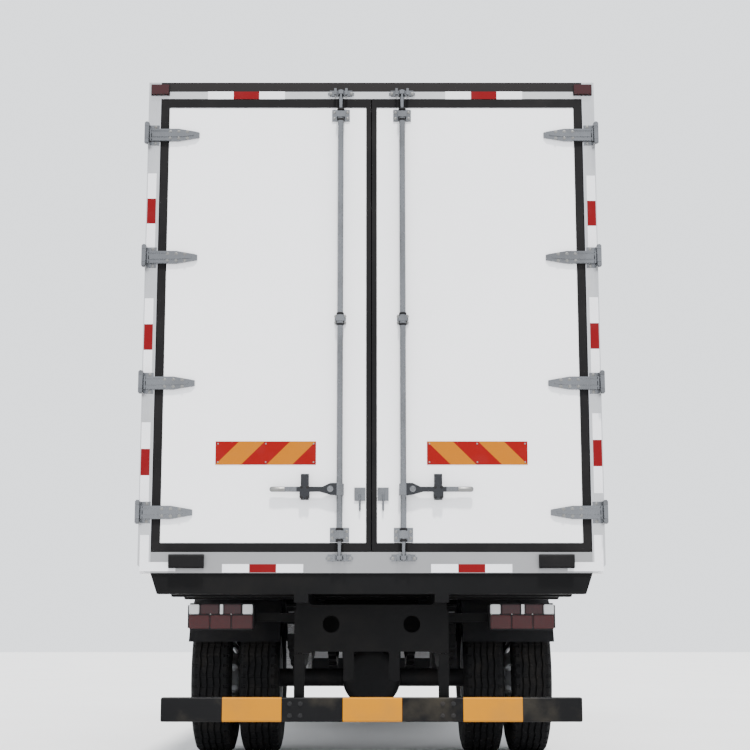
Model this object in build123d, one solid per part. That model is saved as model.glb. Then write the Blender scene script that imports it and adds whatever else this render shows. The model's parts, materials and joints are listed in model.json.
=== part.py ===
# Refrigerated truck: a two-axle cab-over with an insulated box body.
# Millimetres. +Y is the driving direction, +X the right side, +Z up.
# The origin is on the ground, below the middle of the overall box.
from math import sqrt
import os

from build123d import *

# Insulated box
BOX_WIDTH = 2600.0
BOX_HEIGHT = 2850.0
BOX_LENGTH = 6500.0
BOX_BOTTOM = 1140.0
WALL = 85.0
ROOF_THICK = 100.0
FLOOR_THICK = 118.0
POST_WIDTH = 72.0
POST_DEPTH = 110.0
HEADER_HEIGHT = 100.0
SILL_HEIGHT = 116.0

# Rear doors and their fittings
DOOR_THICK = 85.0
GASKET_WIDTH = 50.0
GASKET_PROUD = 3.0
DOOR_GAP = 5.0
HINGE_BACK = 52.0
KNUCKLE_R = 14.0
HINGE_PIN_R = 6.0
STRAP_REACH = 300.0
STRAP_HEIGHT = 74.0
STRAP_THICK = 8.0
STRAP_RIB = 5.0
ROD_R = 17.0
ROD_END_R = 11.0
ROD_X = 178.0
ROD_STAND = 24.0
HANDLE_LENGTH = 390.0
HANDLE_RISE = 340.0
HINGE_COUNT = 4
HINGE_RISE = 214.0
HINGE_DROP = 218.0
LOW_GUIDE_RISE = 89.0
TOP_GUIDE_DROP = 99.0

# Chassis
WHEELBASE = 5000.0
FRONT_OVERHANG = 1430.0
RAIL_OUTER = 430.0
RAIL_FLANGE = 80.0
RAIL_HEIGHT = 280.0
RAIL_BOTTOM = 700.0
RAIL_WEB = 8.0
BEAM_HEIGHT = 114.0
GUARD_WIDTH = 2370.0
GUARD_HEIGHT = 135.0
GUARD_Z = 388.0
GUARD_THICK = 60.0
GUARD_SET_BACK = 230.0

# Wheels
TYRE_R = 506.0
TYRE_WIDTH = 275.0
RIM_SEAT_R = 286.0
RIM_WIDTH = 236.0
WHEEL_OFFSET = 165.0
FRONT_TRACK_HALF = 1025.0
REAR_OUTER_X = 1090.0
KINGPIN_X = 850.0
HAND_HOLES = 10
SPINDLE_R = 38.0
REAR_TUBE_R = 62.0
RUNNING_FIT = 0.06
SEAT = 0.3

# Cab
CAB_WIDTH = 2400.0
CAB_LENGTH = 1820.0
CAB_GAP = 550.0
CAB_ROOF = 2870.0
CAB_FLOOR = 1150.0
CAB_SKIN = 45.0
CAB_FLOOR_THICK = 50.0
PIVOT_BACK = 120.0
PIVOT_Z = 700.0
PIVOT_R = 20.0
BUMPER_PROUD = 64.0
BUMPER_RISE = 190.0
CAB_LIFT = 250.0
ARCH_R = 655.0
MUDGUARD_R = 610.0
DOOR_CLEAR = 6.0
GLASS_THICK = 6.0

# Refrigeration unit
UNIT_WIDTH = 1900.0
UNIT_DEPTH = 430.0
UNIT_DROP = 170.0
UNIT_HEIGHT = 800.0
LOUVRES = 12

# Worked-out places
STAND_OUT = HINGE_BACK + KNUCKLE_R
OVERALL = STAND_OUT + BOX_LENGTH + CAB_GAP + CAB_LENGTH + BUMPER_PROUD
BACK = -OVERALL / 2 + STAND_OUT
BOX_FRONT = BACK + BOX_LENGTH
CAB_BACK = BOX_FRONT + CAB_GAP
CAB_FRONT = CAB_BACK + CAB_LENGTH
FRONT_AXLE = OVERALL / 2 - FRONT_OVERHANG
REAR_AXLE = FRONT_AXLE - WHEELBASE
AXLE_Z = TYRE_R
HALF = BOX_WIDTH / 2
BOX_TOP = BOX_BOTTOM + BOX_HEIGHT
RAIL_TOP = RAIL_BOTTOM + RAIL_HEIGHT
FLOOR_TOP = BOX_BOTTOM + FLOOR_THICK
ROOF_BOTTOM = BOX_TOP - ROOF_THICK
SILL_TOP = BOX_BOTTOM + SILL_HEIGHT
HEADER_BOTTOM = BOX_TOP - HEADER_HEIGHT
OPENING_HALF = HALF - POST_WIDTH
LEAF_BOTTOM = SILL_TOP + DOOR_GAP
LEAF_TOP = HEADER_BOTTOM - DOOR_GAP
HINGE_PITCH = (LEAF_TOP - HINGE_DROP - LEAF_BOTTOM - HINGE_RISE) / (HINGE_COUNT - 1)
HINGE_HEIGHTS = tuple(LEAF_BOTTOM + HINGE_RISE + HINGE_PITCH * i for i in range(HINGE_COUNT))
HANDLE_Z = LEAF_BOTTOM + HANDLE_RISE
UNIT_BOTTOM = BOX_TOP - UNIT_DROP - UNIT_HEIGHT
PIVOT_Y = CAB_FRONT - PIVOT_BACK
CAB_BOTTOM = PIVOT_Z + CAB_LIFT
CAB_HALF = CAB_WIDTH / 2
REAR_INNER_X = REAR_OUTER_X - 2 * WHEEL_OFFSET + 5.0
BUMPER_TOP = PIVOT_Z + BUMPER_RISE
NODES = {}


def block(x0, x1, y0, y1, z0, z1):
    size = (x1 - x0, y1 - y0, z1 - z0)
    return Pos((x0 + x1) / 2, (y0 + y1) / 2, (z0 + z1) / 2) * Box(*size)


def rod_x(x0, x1, y, z, r):
    return Pos((x0 + x1) / 2, y, z) * Rot(0, 90, 0) * Cylinder(r, x1 - x0)


def rod_y(x, y0, y1, z, r):
    return Pos(x, (y0 + y1) / 2, z) * Rot(90, 0, 0) * Cylinder(r, y1 - y0)


def rod_z(x, y, z0, z1, r):
    return Pos(x, y, (z0 + z1) / 2) * Cylinder(r, z1 - z0)


def along_x(outline, x0, x1):
    """Extrude a (y, z) face from x0 to x1."""
    return Pos(x0, 0, 0) * extrude(Plane.YZ * outline, amount=x1 - x0)


def along_z(outline, z0, z1):
    """Extrude an (x, y) face from z0 to z1."""
    return Pos(0, 0, z0) * extrude(outline, amount=z1 - z0)


def along_y(outline, y0, y1):
    """Extrude an (x, z) face from y0 to y1."""
    return Pos(0, y1, 0) * extrude(Plane.XZ * outline, amount=y1 - y0)


def outline(*points):
    return make_face(Polyline(*points, close=True))


def flip(shape):
    return mirror(shape, about=Plane.YZ)


def both(shape):
    return [shape, flip(shape)]


def turned(points):
    """Revolve an (x, r) outline about the X axis."""
    return revolve(Plane.XZ * outline(*points), axis=Axis.X)


def node(name, *shapes):
    solids = []
    for shape in shapes:
        solids.extend(shape.solids())
    NODES[name] = solids


# Ladder frame
def c_rail():
    inner = RAIL_OUTER - RAIL_FLANGE
    web = RAIL_OUTER - RAIL_WEB
    section = outline(
        (inner, RAIL_BOTTOM), (RAIL_OUTER, RAIL_BOTTOM), (RAIL_OUTER, RAIL_TOP), (inner, RAIL_TOP),
        (inner, RAIL_TOP - RAIL_WEB), (web, RAIL_TOP - RAIL_WEB), (web, RAIL_BOTTOM + RAIL_WEB),
        (inner, RAIL_BOTTOM + RAIL_WEB),
    )
    return along_y(section, BACK + GUARD_SET_BACK + GUARD_THICK, PIVOT_Y - 70)


RAIL_REAR = BACK + GUARD_SET_BACK + GUARD_THICK
RAIL_FRONT = PIVOT_Y - 70
INSIDE = RAIL_OUTER - RAIL_WEB
MEMBER_TOP = RAIL_TOP - RAIL_WEB
MEMBER_BOTTOM = RAIL_BOTTOM + RAIL_WEB
# y of the middle, depth of the section
MEMBERS = (
    (RAIL_REAR + 45, 90),
    (REAR_AXLE - 750, 70),
    (REAR_AXLE + 750, 70),
    (REAR_AXLE + 2100, 70),
    (RAIL_FRONT - 60, 70),
)


def frame():
    node("frame_rails", *both(c_rail()))
    pieces = []
    for y, depth in MEMBERS:
        channel = block(-INSIDE, INSIDE, y - depth / 2, y + depth / 2, MEMBER_BOTTOM, MEMBER_TOP)
        channel -= block(-INSIDE, INSIDE, y - depth / 2 + 8, y + depth, MEMBER_BOTTOM + 8, MEMBER_TOP - 8)
        if y == MEMBERS[0][0]:
            for x in (-230, 230):
                channel -= rod_y(x, y - depth, y + depth, MEMBER_TOP - 110, 48)
            # number plate bars below the rear member
            for x in (-130, 130):
                bar = block(x - 30, x + 30, y - depth / 2, y - depth / 2 + 8, MEMBER_BOTTOM - 165, MEMBER_TOP - 140)
                channel += bar
        pieces.append(channel)
    lamp_arm = block(
        RAIL_OUTER, LAMP_X[1] - 40, LAMP_Y + LAMP_DEEP, LAMP_Y + LAMP_DEEP + 40, LAMP_Z[0] + 50, LAMP_Z[0] + 100)
    pieces.extend(both(lamp_arm))
    # hangers of the underrun guard, flat plates on the outside of each rail
    for shape in both(guard_hanger()):
        pieces.append(shape)
    node("frame_crossmembers", *pieces)


def guard_hanger():
    front = RAIL_REAR
    side = outline(
        (front, GUARD_Z - GUARD_HEIGHT / 2 + 10), (front + 60, GUARD_Z - GUARD_HEIGHT / 2 + 10),
        (front + 260, RAIL_BOTTOM + 60), (front + 260, RAIL_TOP - 40), (front, RAIL_TOP - 40),
    )
    plate = along_x(side, RAIL_OUTER, RAIL_OUTER + 10)
    foot = block(RAIL_OUTER - 50, RAIL_OUTER + 10, front, front + 10, GUARD_Z - GUARD_HEIGHT / 2 + 10, RAIL_BOTTOM - 5)
    return plate + foot


# Floor beams: one at each end of the box, and rows behind and ahead of the wheel arches
BEAM_HALF = OPENING_HALF
BEAM_TAPER = 38.0
BEAM_END = 60.0
BEAM_PITCH = 650.0
BEAM_SPACE = 300.0
FIRST_BEAM = 700.0
ARCH_SPACE = 700.0


def beam_places():
    """The y of each floor beam's middle."""
    places = [BACK + BEAM_END, BOX_FRONT - BEAM_END]
    y = BACK + FIRST_BEAM
    while y < REAR_AXLE - ARCH_SPACE:
        places.append(y)
        y += BEAM_PITCH
    y = REAR_AXLE + ARCH_SPACE
    while y < BOX_FRONT - BEAM_END - BEAM_SPACE:
        places.append(y)
        y += BEAM_PITCH
    return sorted(places)


def beams():
    bottom = BOX_BOTTOM - BEAM_HEIGHT
    section = outline(
        (-BEAM_HALF + BEAM_TAPER, bottom), (BEAM_HALF - BEAM_TAPER, bottom),
        (BEAM_HALF, BOX_BOTTOM), (-BEAM_HALF, BOX_BOTTOM),
    )
    pieces = []
    for y in beam_places():
        pieces.append(along_y(section, y - 50, y + 50))
    sills = both(block(RAIL_OUTER - RAIL_FLANGE, RAIL_OUTER, BACK + 10, BOX_FRONT - 10, RAIL_TOP, BOX_BOTTOM))
    joined = sills[0] + sills[1]
    for piece in pieces:
        joined += piece
    node("floor_beams", joined)


def box_body():
    front = BOX_FRONT - WALL
    rear = BACK + POST_DEPTH
    node("box_floor", block(-HALF + WALL, HALF - WALL, rear, front, BOX_BOTTOM, FLOOR_TOP))
    wall = block(HALF - WALL, HALF, rear, BOX_FRONT, BOX_BOTTOM, BOX_TOP - ROOF_THICK)
    node("box_side_walls", *both(wall))
    node("box_front_wall", block(-HALF + WALL, HALF - WALL, front, BOX_FRONT, BOX_BOTTOM, BOX_TOP - ROOF_THICK))
    roof = block(-HALF, HALF, rear, BOX_FRONT, BOX_TOP - ROOF_THICK, BOX_TOP)
    roof = fillet(roof.edges().filter_by(Axis.Y).group_by(Axis.Z)[-1], 20)
    node("box_roof", roof)
    post = block(OPENING_HALF, HALF, BACK, rear, BOX_BOTTOM, BOX_TOP)
    corner = post.edges().filter_by(Axis.Y).group_by(Axis.Z)[0].sort_by(Axis.X)[-1]
    post = chamfer(corner, 45)
    node("rear_posts", *both(post))
    header = block(-OPENING_HALF, OPENING_HALF, BACK, rear, HEADER_BOTTOM, BOX_TOP)
    sill = block(-OPENING_HALF, OPENING_HALF, BACK, rear, BOX_BOTTOM, SILL_TOP)
    node("rear_header_and_sill", header, sill)


# Fittings of the rear frame, for one side
LUG_GAP = 1.0
LUG_HEIGHT = 22.0
PIN_Y = BACK - HINGE_BACK
KEEPER_CLEAR = 8.0
KEEPER_HALF = 66.0
KEEPER_SPAN = 38.0
KEEPER_PLATE = 2.0
KEEPER_EAR = 14.0
KEEPER_WING = 76.0
KEEPER_Z = (SILL_TOP - 52, HEADER_BOTTOM + 12)


def hinge_bracket(z):
    shape = rod_z(HALF, PIN_Y, z - STRAP_HEIGHT / 2 - LUG_GAP, z + STRAP_HEIGHT / 2 + LUG_GAP, HINGE_PIN_R)
    for side in (-1, 1):
        near = z + side * (STRAP_HEIGHT / 2 + LUG_GAP)
        far = near + side * LUG_HEIGHT
        z0, z1 = min(near, far), max(near, far)
        shape += rod_z(HALF, PIN_Y, z0, z1, KNUCKLE_R)
        shape += block(HALF - KNUCKLE_R, HALF, PIN_Y, BACK, z0, z1)
        shape += block(HALF - POST_WIDTH + 6, HALF, BACK - 5, BACK, z0, z1)
    return shape


def keeper(z):
    y0 = BACK - ROD_STAND - ROD_R - 4
    shape = block(ROD_X - KEEPER_HALF, ROD_X + KEEPER_HALF, BACK - KEEPER_PLATE, BACK, z, z + KEEPER_SPAN)
    for side in (-1, 1):
        near = ROD_X + side * (ROD_R + KEEPER_CLEAR)
        far = near + side * KEEPER_EAR
        shape += block(min(near, far), max(near, far), y0, BACK, z, z + KEEPER_SPAN)
        tip = ROD_X + side * KEEPER_WING
        wing = outline((far, z + 2), (far, z + KEEPER_SPAN - 2), (tip, z + 22), (tip, z + 10))
        shape += along_y(wing, BACK - 8, BACK)
    return shape


def rear_fittings():
    pieces = []
    for z in HINGE_HEIGHTS:
        pieces.extend(both(hinge_bracket(z)))
    for z in KEEPER_Z:
        pieces.extend(both(keeper(z)))
    node("rear_frame_fittings", *pieces)
    buffer = block(930, 1124, BACK - 42, BACK, SILL_TOP - 90, SILL_TOP - 14)
    buffer = fillet(buffer.edges().filter_by(Axis.X).group_by(Axis.Y)[0], 12)
    node("rear_buffers", *both(buffer))


# Rear door leaves, modelled on the right
LEAF_IN = DOOR_GAP / 2
LEAF_OUT = OPENING_HALF - DOOR_GAP
CENTRE_SEAL = 27.5
SIDE_SEAL = GASKET_WIDTH - DOOR_GAP
PANEL_IN = LEAF_IN + CENTRE_SEAL
PANEL_OUT = LEAF_OUT - SIDE_SEAL
PANEL_BOTTOM = LEAF_BOTTOM + SIDE_SEAL
PANEL_TOP = LEAF_TOP - SIDE_SEAL - 5
SKIN_GUARD = 6.0


def leaf_panel():
    panel = block(PANEL_IN, PANEL_OUT, BACK, BACK + DOOR_THICK, PANEL_BOTTOM, PANEL_TOP)
    return fillet(panel.edges().filter_by(Axis.Z).group_by(Axis.Y)[0], 3)


def leaf_gasket():
    ring = block(LEAF_IN, LEAF_OUT, BACK - GASKET_PROUD, BACK + 60, LEAF_BOTTOM, LEAF_TOP)
    return ring - block(PANEL_IN, PANEL_OUT, BACK - 50, BACK + 200, PANEL_BOTTOM, PANEL_TOP)


def strap(z):
    tip = HALF - STRAP_REACH
    over = PANEL_OUT - 4
    guard = BACK - SKIN_GUARD
    face = guard - STRAP_THICK
    plan = outline(
        (tip, BACK), (tip, guard), (tip + 20, face), (HALF - KNUCKLE_R - 10, face), (HALF - KNUCKLE_R, face - 10),
        (HALF - KNUCKLE_R, PIN_Y), (HALF, PIN_Y), (HALF, guard), (over, guard), (over, BACK),
    )
    shape = along_z(plan, z - STRAP_HEIGHT / 2, z + STRAP_HEIGHT / 2)
    side = Pos(0, BACK, 0) * extrude(Plane.XZ * outline(
        (tip, z - 16), (tip + 120, z - STRAP_HEIGHT / 2), (HALF + 50, z - STRAP_HEIGHT / 2),
        (HALF + 50, z + STRAP_HEIGHT / 2), (tip + 120, z + STRAP_HEIGHT / 2), (tip, z + 16),
    ), amount=STAND_OUT + 10)
    shape = shape & side
    root = HALF - KNUCKLE_R - 14
    middle = outline((tip + 34, z - 5), (tip + 120, z - 12), (root, z - 12), (root, z + 12), (tip + 120, z + 12), (tip + 34, z + 5))
    shape += along_y(middle, face - STRAP_RIB, face + 1)
    for low in (z - STRAP_HEIGHT / 2 + 3, z + STRAP_HEIGHT / 2 - 13):
        shape += block(tip + 170, root, face - STRAP_RIB + 1, face + 1, low, low + 10)
    shape += rod_z(HALF, PIN_Y, z - STRAP_HEIGHT / 2, z + STRAP_HEIGHT / 2, KNUCKLE_R)
    return shape - rod_z(HALF, PIN_Y, z - STRAP_HEIGHT, z + STRAP_HEIGHT, HINGE_PIN_R + RUNNING_FIT)


# Guides of the lock rod: middle height, plate width, plate height
GUIDES = (
    (LEAF_BOTTOM + LOW_GUIDE_RISE, 107, 80),
    ((LEAF_BOTTOM + LEAF_TOP) / 2, 64, 56),
    (LEAF_TOP - TOP_GUIDE_DROP, 103, 70),
)
ROD_ENDS = (KEEPER_Z[0] + 4, KEEPER_Z[1] + KEEPER_SPAN - 4)
CAM_HALF = 18.0


def lock_rod():
    y = BACK - ROD_STAND
    shape = rod_z(ROD_X, y, GUIDES[0][0], GUIDES[-1][0], ROD_R)
    shape += rod_z(ROD_X, y, ROD_ENDS[0], ROD_ENDS[1], ROD_END_R)
    for z in KEEPER_Z:
        cam = block(ROD_X - CAM_HALF, ROD_X + CAM_HALF, y - 14, y + 10, z + 8, z + KEEPER_SPAN - 8)
        shape += fillet(cam.edges().filter_by(Axis.Z), 6)
    for z, width, height in GUIDES:
        shape += block(ROD_X - width / 2, ROD_X + width / 2, BACK - 6, BACK, z - height / 2, z + height / 2)
        shape += block(ROD_X - 24, ROD_X + 24, y - 21, BACK, z - height / 4, z + height / 4)
    shape += block(ROD_X - 24, ROD_X + 24, y - 20, y + 14, HANDLE_Z - 32, HANDLE_Z + 32)
    shape += lever(y)
    for piece in catch(y):
        shape += piece
    return shape


def lever(y):
    """A wing at the rod that narrows to a flat grip."""
    end = ROD_X + HANDLE_LENGTH
    face = outline(
        (ROD_X, HANDLE_Z - 33), (ROD_X + 52, HANDLE_Z - 30), (ROD_X + 110, HANDLE_Z - 13), (end, HANDLE_Z - 13),
        (end, HANDLE_Z + 15), (ROD_X + 96, HANDLE_Z + 15), (ROD_X + 52, HANDLE_Z + 36), (ROD_X, HANDLE_Z + 36),
    )
    corners = [v for v in face.vertices() if v.X > end - 1]
    bends = [v for v in face.vertices() if ROD_X + 40 < v.X < end - 1]
    face = fillet(corners, 12)
    face = fillet([face.vertices().sort_by_distance((v.X, v.Y, 0))[0] for v in bends], 10)
    return along_y(face, y - 16, y - 2)


def catch(y):
    """Holder of the lever: base plate, body and upright tongue."""
    x = ROD_X + HANDLE_LENGTH / 2
    base = block(x - 23, x + 23, BACK - 5, BACK, HANDLE_Z - 56, HANDLE_Z + 90)
    body = block(x - 28, x + 28, y - 20, BACK, HANDLE_Z - 50, HANDLE_Z + 20)
    body = fillet(body.edges().filter_by(Axis.Y), 8)
    tongue = block(x - 20, x + 20, y - 8, BACK, HANDLE_Z + 10, HANDLE_Z + 86)
    tongue = fillet(tongue.edges().filter_by(Axis.Y).group_by(Axis.Z)[-1], 12)
    return [base, body, tongue]


def lock_plate():
    z = HANDLE_Z - 24
    middle = PANEL_IN + 35
    plate = block(middle - 31, middle + 31, BACK - 8, BACK, z - 37, z + 37)
    for x in (middle - 14, middle + 14):
        plate += rod_y(x, BACK - 11, BACK, z + 15, 9)
    plate += rod_z(middle, BACK - 14, z - 96, z, 6)
    return plate + rod_x(middle - 13, middle + 13, BACK - 14, z - 92, 5)


def rear_doors():
    panel = leaf_panel()
    gasket = leaf_gasket()
    metal = [lock_rod(), lock_plate()]
    for z in HINGE_HEIGHTS:
        metal.append(strap(z))
    node("cargo_door_right", panel)
    node("cargo_door_left", flip(panel))
    node("door_gasket_right", gasket)
    node("door_gasket_left", flip(gasket))
    node("door_hardware_right", *metal)
    node("door_hardware_left", *[flip(piece) for piece in metal])


# Rear lighting, guard and mudguards
LAMP_X = (694.0, 1087.0)
LAMP_Z = (830.0, 988.0)
LAMP_Y = BACK + 600
LAMP_DEEP = 90.0
GUARD_SEGMENTS = 7


LENS_PROUD = 8.0
LENS_RIM = 7.0
# outer and inner share of the width, lower and upper share of the height
LENSES = ((0.0, 1.0, 0.0, 0.56), (0.0, 0.17, 0.6, 1.0), (0.2, 0.8, 0.6, 1.0), (0.83, 1.0, 0.6, 1.0))


def tail_lamp():
    """Housing with a red strip below and three lenses in a row above it."""
    shape = block(LAMP_X[0], LAMP_X[1], LAMP_Y + LENS_PROUD, LAMP_Y + LAMP_DEEP, LAMP_Z[0], LAMP_Z[1])
    shape = fillet(shape.edges().filter_by(Axis.Y), 14)
    x0, z0 = LAMP_X[0] + LENS_RIM, LAMP_Z[0] + LENS_RIM
    wide_by = LAMP_X[1] - LAMP_X[0] - 2 * LENS_RIM
    tall = LAMP_Z[1] - LAMP_Z[0] - 2 * LENS_RIM
    for left, right, low, high in LENSES:
        lens = block(
            x0 + left * wide_by, x0 + right * wide_by, LAMP_Y, LAMP_Y + LENS_PROUD + 1, z0 + low * tall, z0 + high * tall)
        shape += fillet(lens.edges().filter_by(Axis.Y), 6)
    return shape


def rear_end():
    y0 = RAIL_REAR - GUARD_THICK
    bar = block(-GUARD_WIDTH / 2, GUARD_WIDTH / 2, y0, RAIL_REAR, GUARD_Z - GUARD_HEIGHT / 2, GUARD_Z + GUARD_HEIGHT / 2)
    bar = fillet(bar.edges().filter_by(Axis.X), 10)
    bar = fillet(bar.edges().filter_by(Axis.Z), 10)
    node("underrun_guard", bar)
    node("tail_lamps", *both(tail_lamp()))
    arch = rear_arch()
    stay = []
    for y in (-430, 430):
        stay.append(rod_x(RAIL_OUTER, MUDGUARD_X[0] + 30, REAR_AXLE + y, RAIL_BOTTOM + 200, 18))
    node("rear_mudguards", *both(arch + stay[0] + stay[1]))


REAR_ARCH_R = 580.0
ARCH_SKIN = 6.0
MUDGUARD_X = (622.0, 1238.0)
MUDGUARD_END = 250.0


def arch_ring(y, radius, end):
    ring = Pos(y, AXLE_Z) * (Circle(radius + ARCH_SKIN) - Circle(radius))
    return ring - Pos(y, AXLE_Z + end - radius * 2) * Rectangle(radius * 4, radius * 4)


def rear_arch():
    shape = along_x(arch_ring(REAR_AXLE, REAR_ARCH_R, MUDGUARD_END), MUDGUARD_X[0], MUDGUARD_X[1])
    wall_face = Pos(REAR_AXLE, AXLE_Z) * Circle(REAR_ARCH_R + 1)
    wall_face -= Pos(REAR_AXLE, AXLE_Z) * Circle(REAR_ARCH_R - 60)
    wall_face -= Pos(REAR_AXLE, AXLE_Z + MUDGUARD_END - REAR_ARCH_R * 2) * Rectangle(REAR_ARCH_R * 4, REAR_ARCH_R * 4)
    return shape + along_x(wall_face, MUDGUARD_X[0], MUDGUARD_X[0] + ARCH_SKIN)


# Axles and springs
BEAM_AXLE = (380.0, 465.0)
REAR_SPRING_X = 510.0
FRONT_SPRING_X = 390.0
# half length, thickness of each leaf pack step
FRONT_LEAVES = ((740, 26), (560, 26), (330, 26))
REAR_LEAVES = ((760, 30), (590, 30), (380, 30))
SPRING_SAG = 80.0
EYE_R = 36.0


def leaf_spring(x, y, seat, leaves, width, hanger_top):
    """A pack of curved leaves, longest on top, standing on the axle seat."""
    total = sum(thick for _, thick in leaves)
    bow = (leaves[0][0] ** 2 + SPRING_SAG ** 2) / (2 * SPRING_SAG)
    level = seat + total
    faces = []
    for reach, thick in leaves:
        centre = level - thick + bow
        band = Pos(y, centre) * (Circle(bow) - Circle(bow - thick))
        faces.append(band & Pos(y, level) * Rectangle(reach * 2, SPRING_SAG * 3))
        level -= thick
    shape = along_x(faces[0], x - width / 2, x + width / 2)
    for face in faces[1:]:
        shape += along_x(face, x - width / 2, x + width / 2)
    eye_z = seat + total + SPRING_SAG
    for side in (-1, 1):
        eye_y = y + side * leaves[0][0]
        shape += rod_x(x - width / 2, x + width / 2, eye_y, eye_z, EYE_R)
        inner = RAIL_OUTER if x > RAIL_OUTER else x - width / 2
        shape += block(inner, x + width / 2, eye_y - 45, eye_y + 45, eye_z, hanger_top)
    return shape


def axles():
    beam = block(-KINGPIN_X + 150, KINGPIN_X - 150, FRONT_AXLE - 45, FRONT_AXLE + 45, *BEAM_AXLE)
    beam -= block(-KINGPIN_X, KINGPIN_X, FRONT_AXLE + 14, FRONT_AXLE + 60, BEAM_AXLE[0] + 20, BEAM_AXLE[1] - 20)
    beam -= block(-KINGPIN_X, KINGPIN_X, FRONT_AXLE - 60, FRONT_AXLE - 14, BEAM_AXLE[0] + 20, BEAM_AXLE[1] - 20)
    for side in (-1, 1):
        x = side * KINGPIN_X
        end = outline(
            (x - side * 160, BEAM_AXLE[0]), (x - side * 60, AXLE_Z - 50), (x, AXLE_Z - 50), (x, AXLE_Z + 50),
            (x - side * 160, BEAM_AXLE[1]),
        )
        beam += along_y(end, FRONT_AXLE - 45, FRONT_AXLE + 45)
        beam += rod_z(x, FRONT_AXLE, AXLE_Z - 50, AXLE_Z + 50, 48)
        beam -= rod_z(x, FRONT_AXLE, AXLE_Z - 90, AXLE_Z + 90, KINGPIN_R + RUNNING_FIT)
    seat = BEAM_AXLE[1] + 30
    for side in (-1, 1):
        x = side * FRONT_SPRING_X
        beam += block(x - 45, x + 45, FRONT_AXLE - 60, FRONT_AXLE + 60, BEAM_AXLE[1] - 20, seat)
    node("front_axle", beam)
    tube = rod_x(-TUBE_END, TUBE_END, REAR_AXLE, AXLE_Z, REAR_TUBE_R)
    bowl = rod_y(0, REAR_AXLE - 150, REAR_AXLE + 150, AXLE_Z, 205)
    bowl = fillet(bowl.edges().filter_by(GeomType.CIRCLE), 60)
    nose = rod_y(0, REAR_AXLE, REAR_AXLE + NOSE, AXLE_Z, 85)
    rear_seat = AXLE_Z + REAR_TUBE_R + 14
    axle = tube + bowl + nose
    for side in (-1, 1):
        x = side * REAR_SPRING_X
        axle += block(x - 45, x + 45, REAR_AXLE - 60, REAR_AXLE + 60, AXLE_Z, rear_seat)
    node("rear_axle", axle)
    front = leaf_spring(FRONT_SPRING_X, FRONT_AXLE, seat, FRONT_LEAVES, 78, RAIL_BOTTOM)
    rear = leaf_spring(REAR_SPRING_X, REAR_AXLE, rear_seat, REAR_LEAVES, 88, RAIL_BOTTOM + 110)
    node("leaf_springs", *both(front), *both(rear))


KINGPIN_R = 22.0
TUBE_END = 1040.0
NOSE = 330.0
EAR_GAP = 2.0
EAR = 30.0
ARM_BACK = 160.0
TIE_Z = AXLE_Z - 50 - EAR_GAP - EAR / 2
SPINDLE_END = FRONT_TRACK_HALF + 120


def knuckle():
    x = KINGPIN_X
    shape = rod_z(x, FRONT_AXLE, AXLE_Z - 50 - EAR_GAP - EAR, AXLE_Z + 50 + EAR_GAP + EAR, KINGPIN_R)
    for side in (-1, 1):
        z0 = AXLE_Z + side * (50 + EAR_GAP)
        z1 = z0 + side * EAR
        low, high = min(z0, z1), max(z0, z1)
        shape += rod_z(x, FRONT_AXLE, low, high, 44)
        shape += block(x, x + 84, FRONT_AXLE - 44, FRONT_AXLE + 44, low, high)
    tall = 50 + EAR_GAP + EAR
    shape += block(x + 56, x + 84, FRONT_AXLE - 60, FRONT_AXLE + 60, AXLE_Z - tall, AXLE_Z + tall)
    shape += rod_x(x + 84, SPINDLE_END, FRONT_AXLE, AXLE_Z, SPINDLE_R)
    arm = block(x - 20, x + 20, FRONT_AXLE - ARM_BACK, FRONT_AXLE, TIE_Z - EAR / 2, TIE_Z + EAR / 2)
    arm += rod_z(x, FRONT_AXLE - ARM_BACK, TIE_Z - EAR / 2, TIE_Z + EAR / 2, 28)
    return shape + arm


def steering():
    right = knuckle()
    left = flip(right)
    hole = rod_z(-KINGPIN_X, FRONT_AXLE - ARM_BACK, TIE_Z - 60, TIE_Z + 60, 12 + RUNNING_FIT)
    node("knuckle_right", right)
    node("knuckle_left", left - hole)
    y = FRONT_AXLE - ARM_BACK
    top = TIE_Z - EAR / 2 - 8
    rod = rod_x(-KINGPIN_X, KINGPIN_X, y, top - 20, 18)
    for x in (-KINGPIN_X, KINGPIN_X):
        rod += rod_z(x, y, top - 44, top, 26)
    rod += rod_z(-KINGPIN_X, y, top, TIE_Z + EAR / 2 + 10, 12)
    node("tie_rod", rod)


# Wheels, drawn on the right with the disc towards +X of the rim centre
FLANGE_R = 304.0
BARREL_R = RIM_SEAT_R - 10
DISC = 12.0
DRUM_R = 200.0
BOLT_CIRCLE_R = 190.0
HUB_R = 125.0
CAP_R = 70.0


def rim(x, outward):
    """Barrel, flanges and pierced dish; outward is the side of the disc."""
    half = RIM_WIDTH / 2
    barrel = turned((
        (-half, BARREL_R), (half, BARREL_R), (half, FLANGE_R), (half - 10, FLANGE_R), (half - 10, RIM_SEAT_R),
        (-half + 10, RIM_SEAT_R), (-half + 10, FLANGE_R), (-half, FLANGE_R),
    ))
    face = WHEEL_OFFSET
    dish = turned((
        (face - DISC, 60), (face, 60), (face, BOLT_CIRCLE_R + 8), (half - 18, BARREL_R + 1),
        (half - 32, BARREL_R + 1), (face - DISC, BOLT_CIRCLE_R),
    ))
    for i in range(HAND_HOLES):
        angle = 360 * i / HAND_HOLES
        dish -= Rot(angle, 0, 0) * rod_x(0, face + 20, 0, 232, 25)
    shape = barrel + dish
    if outward < 0:
        shape = flip(shape)
    return Pos(x, 0, 0) * shape


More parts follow.
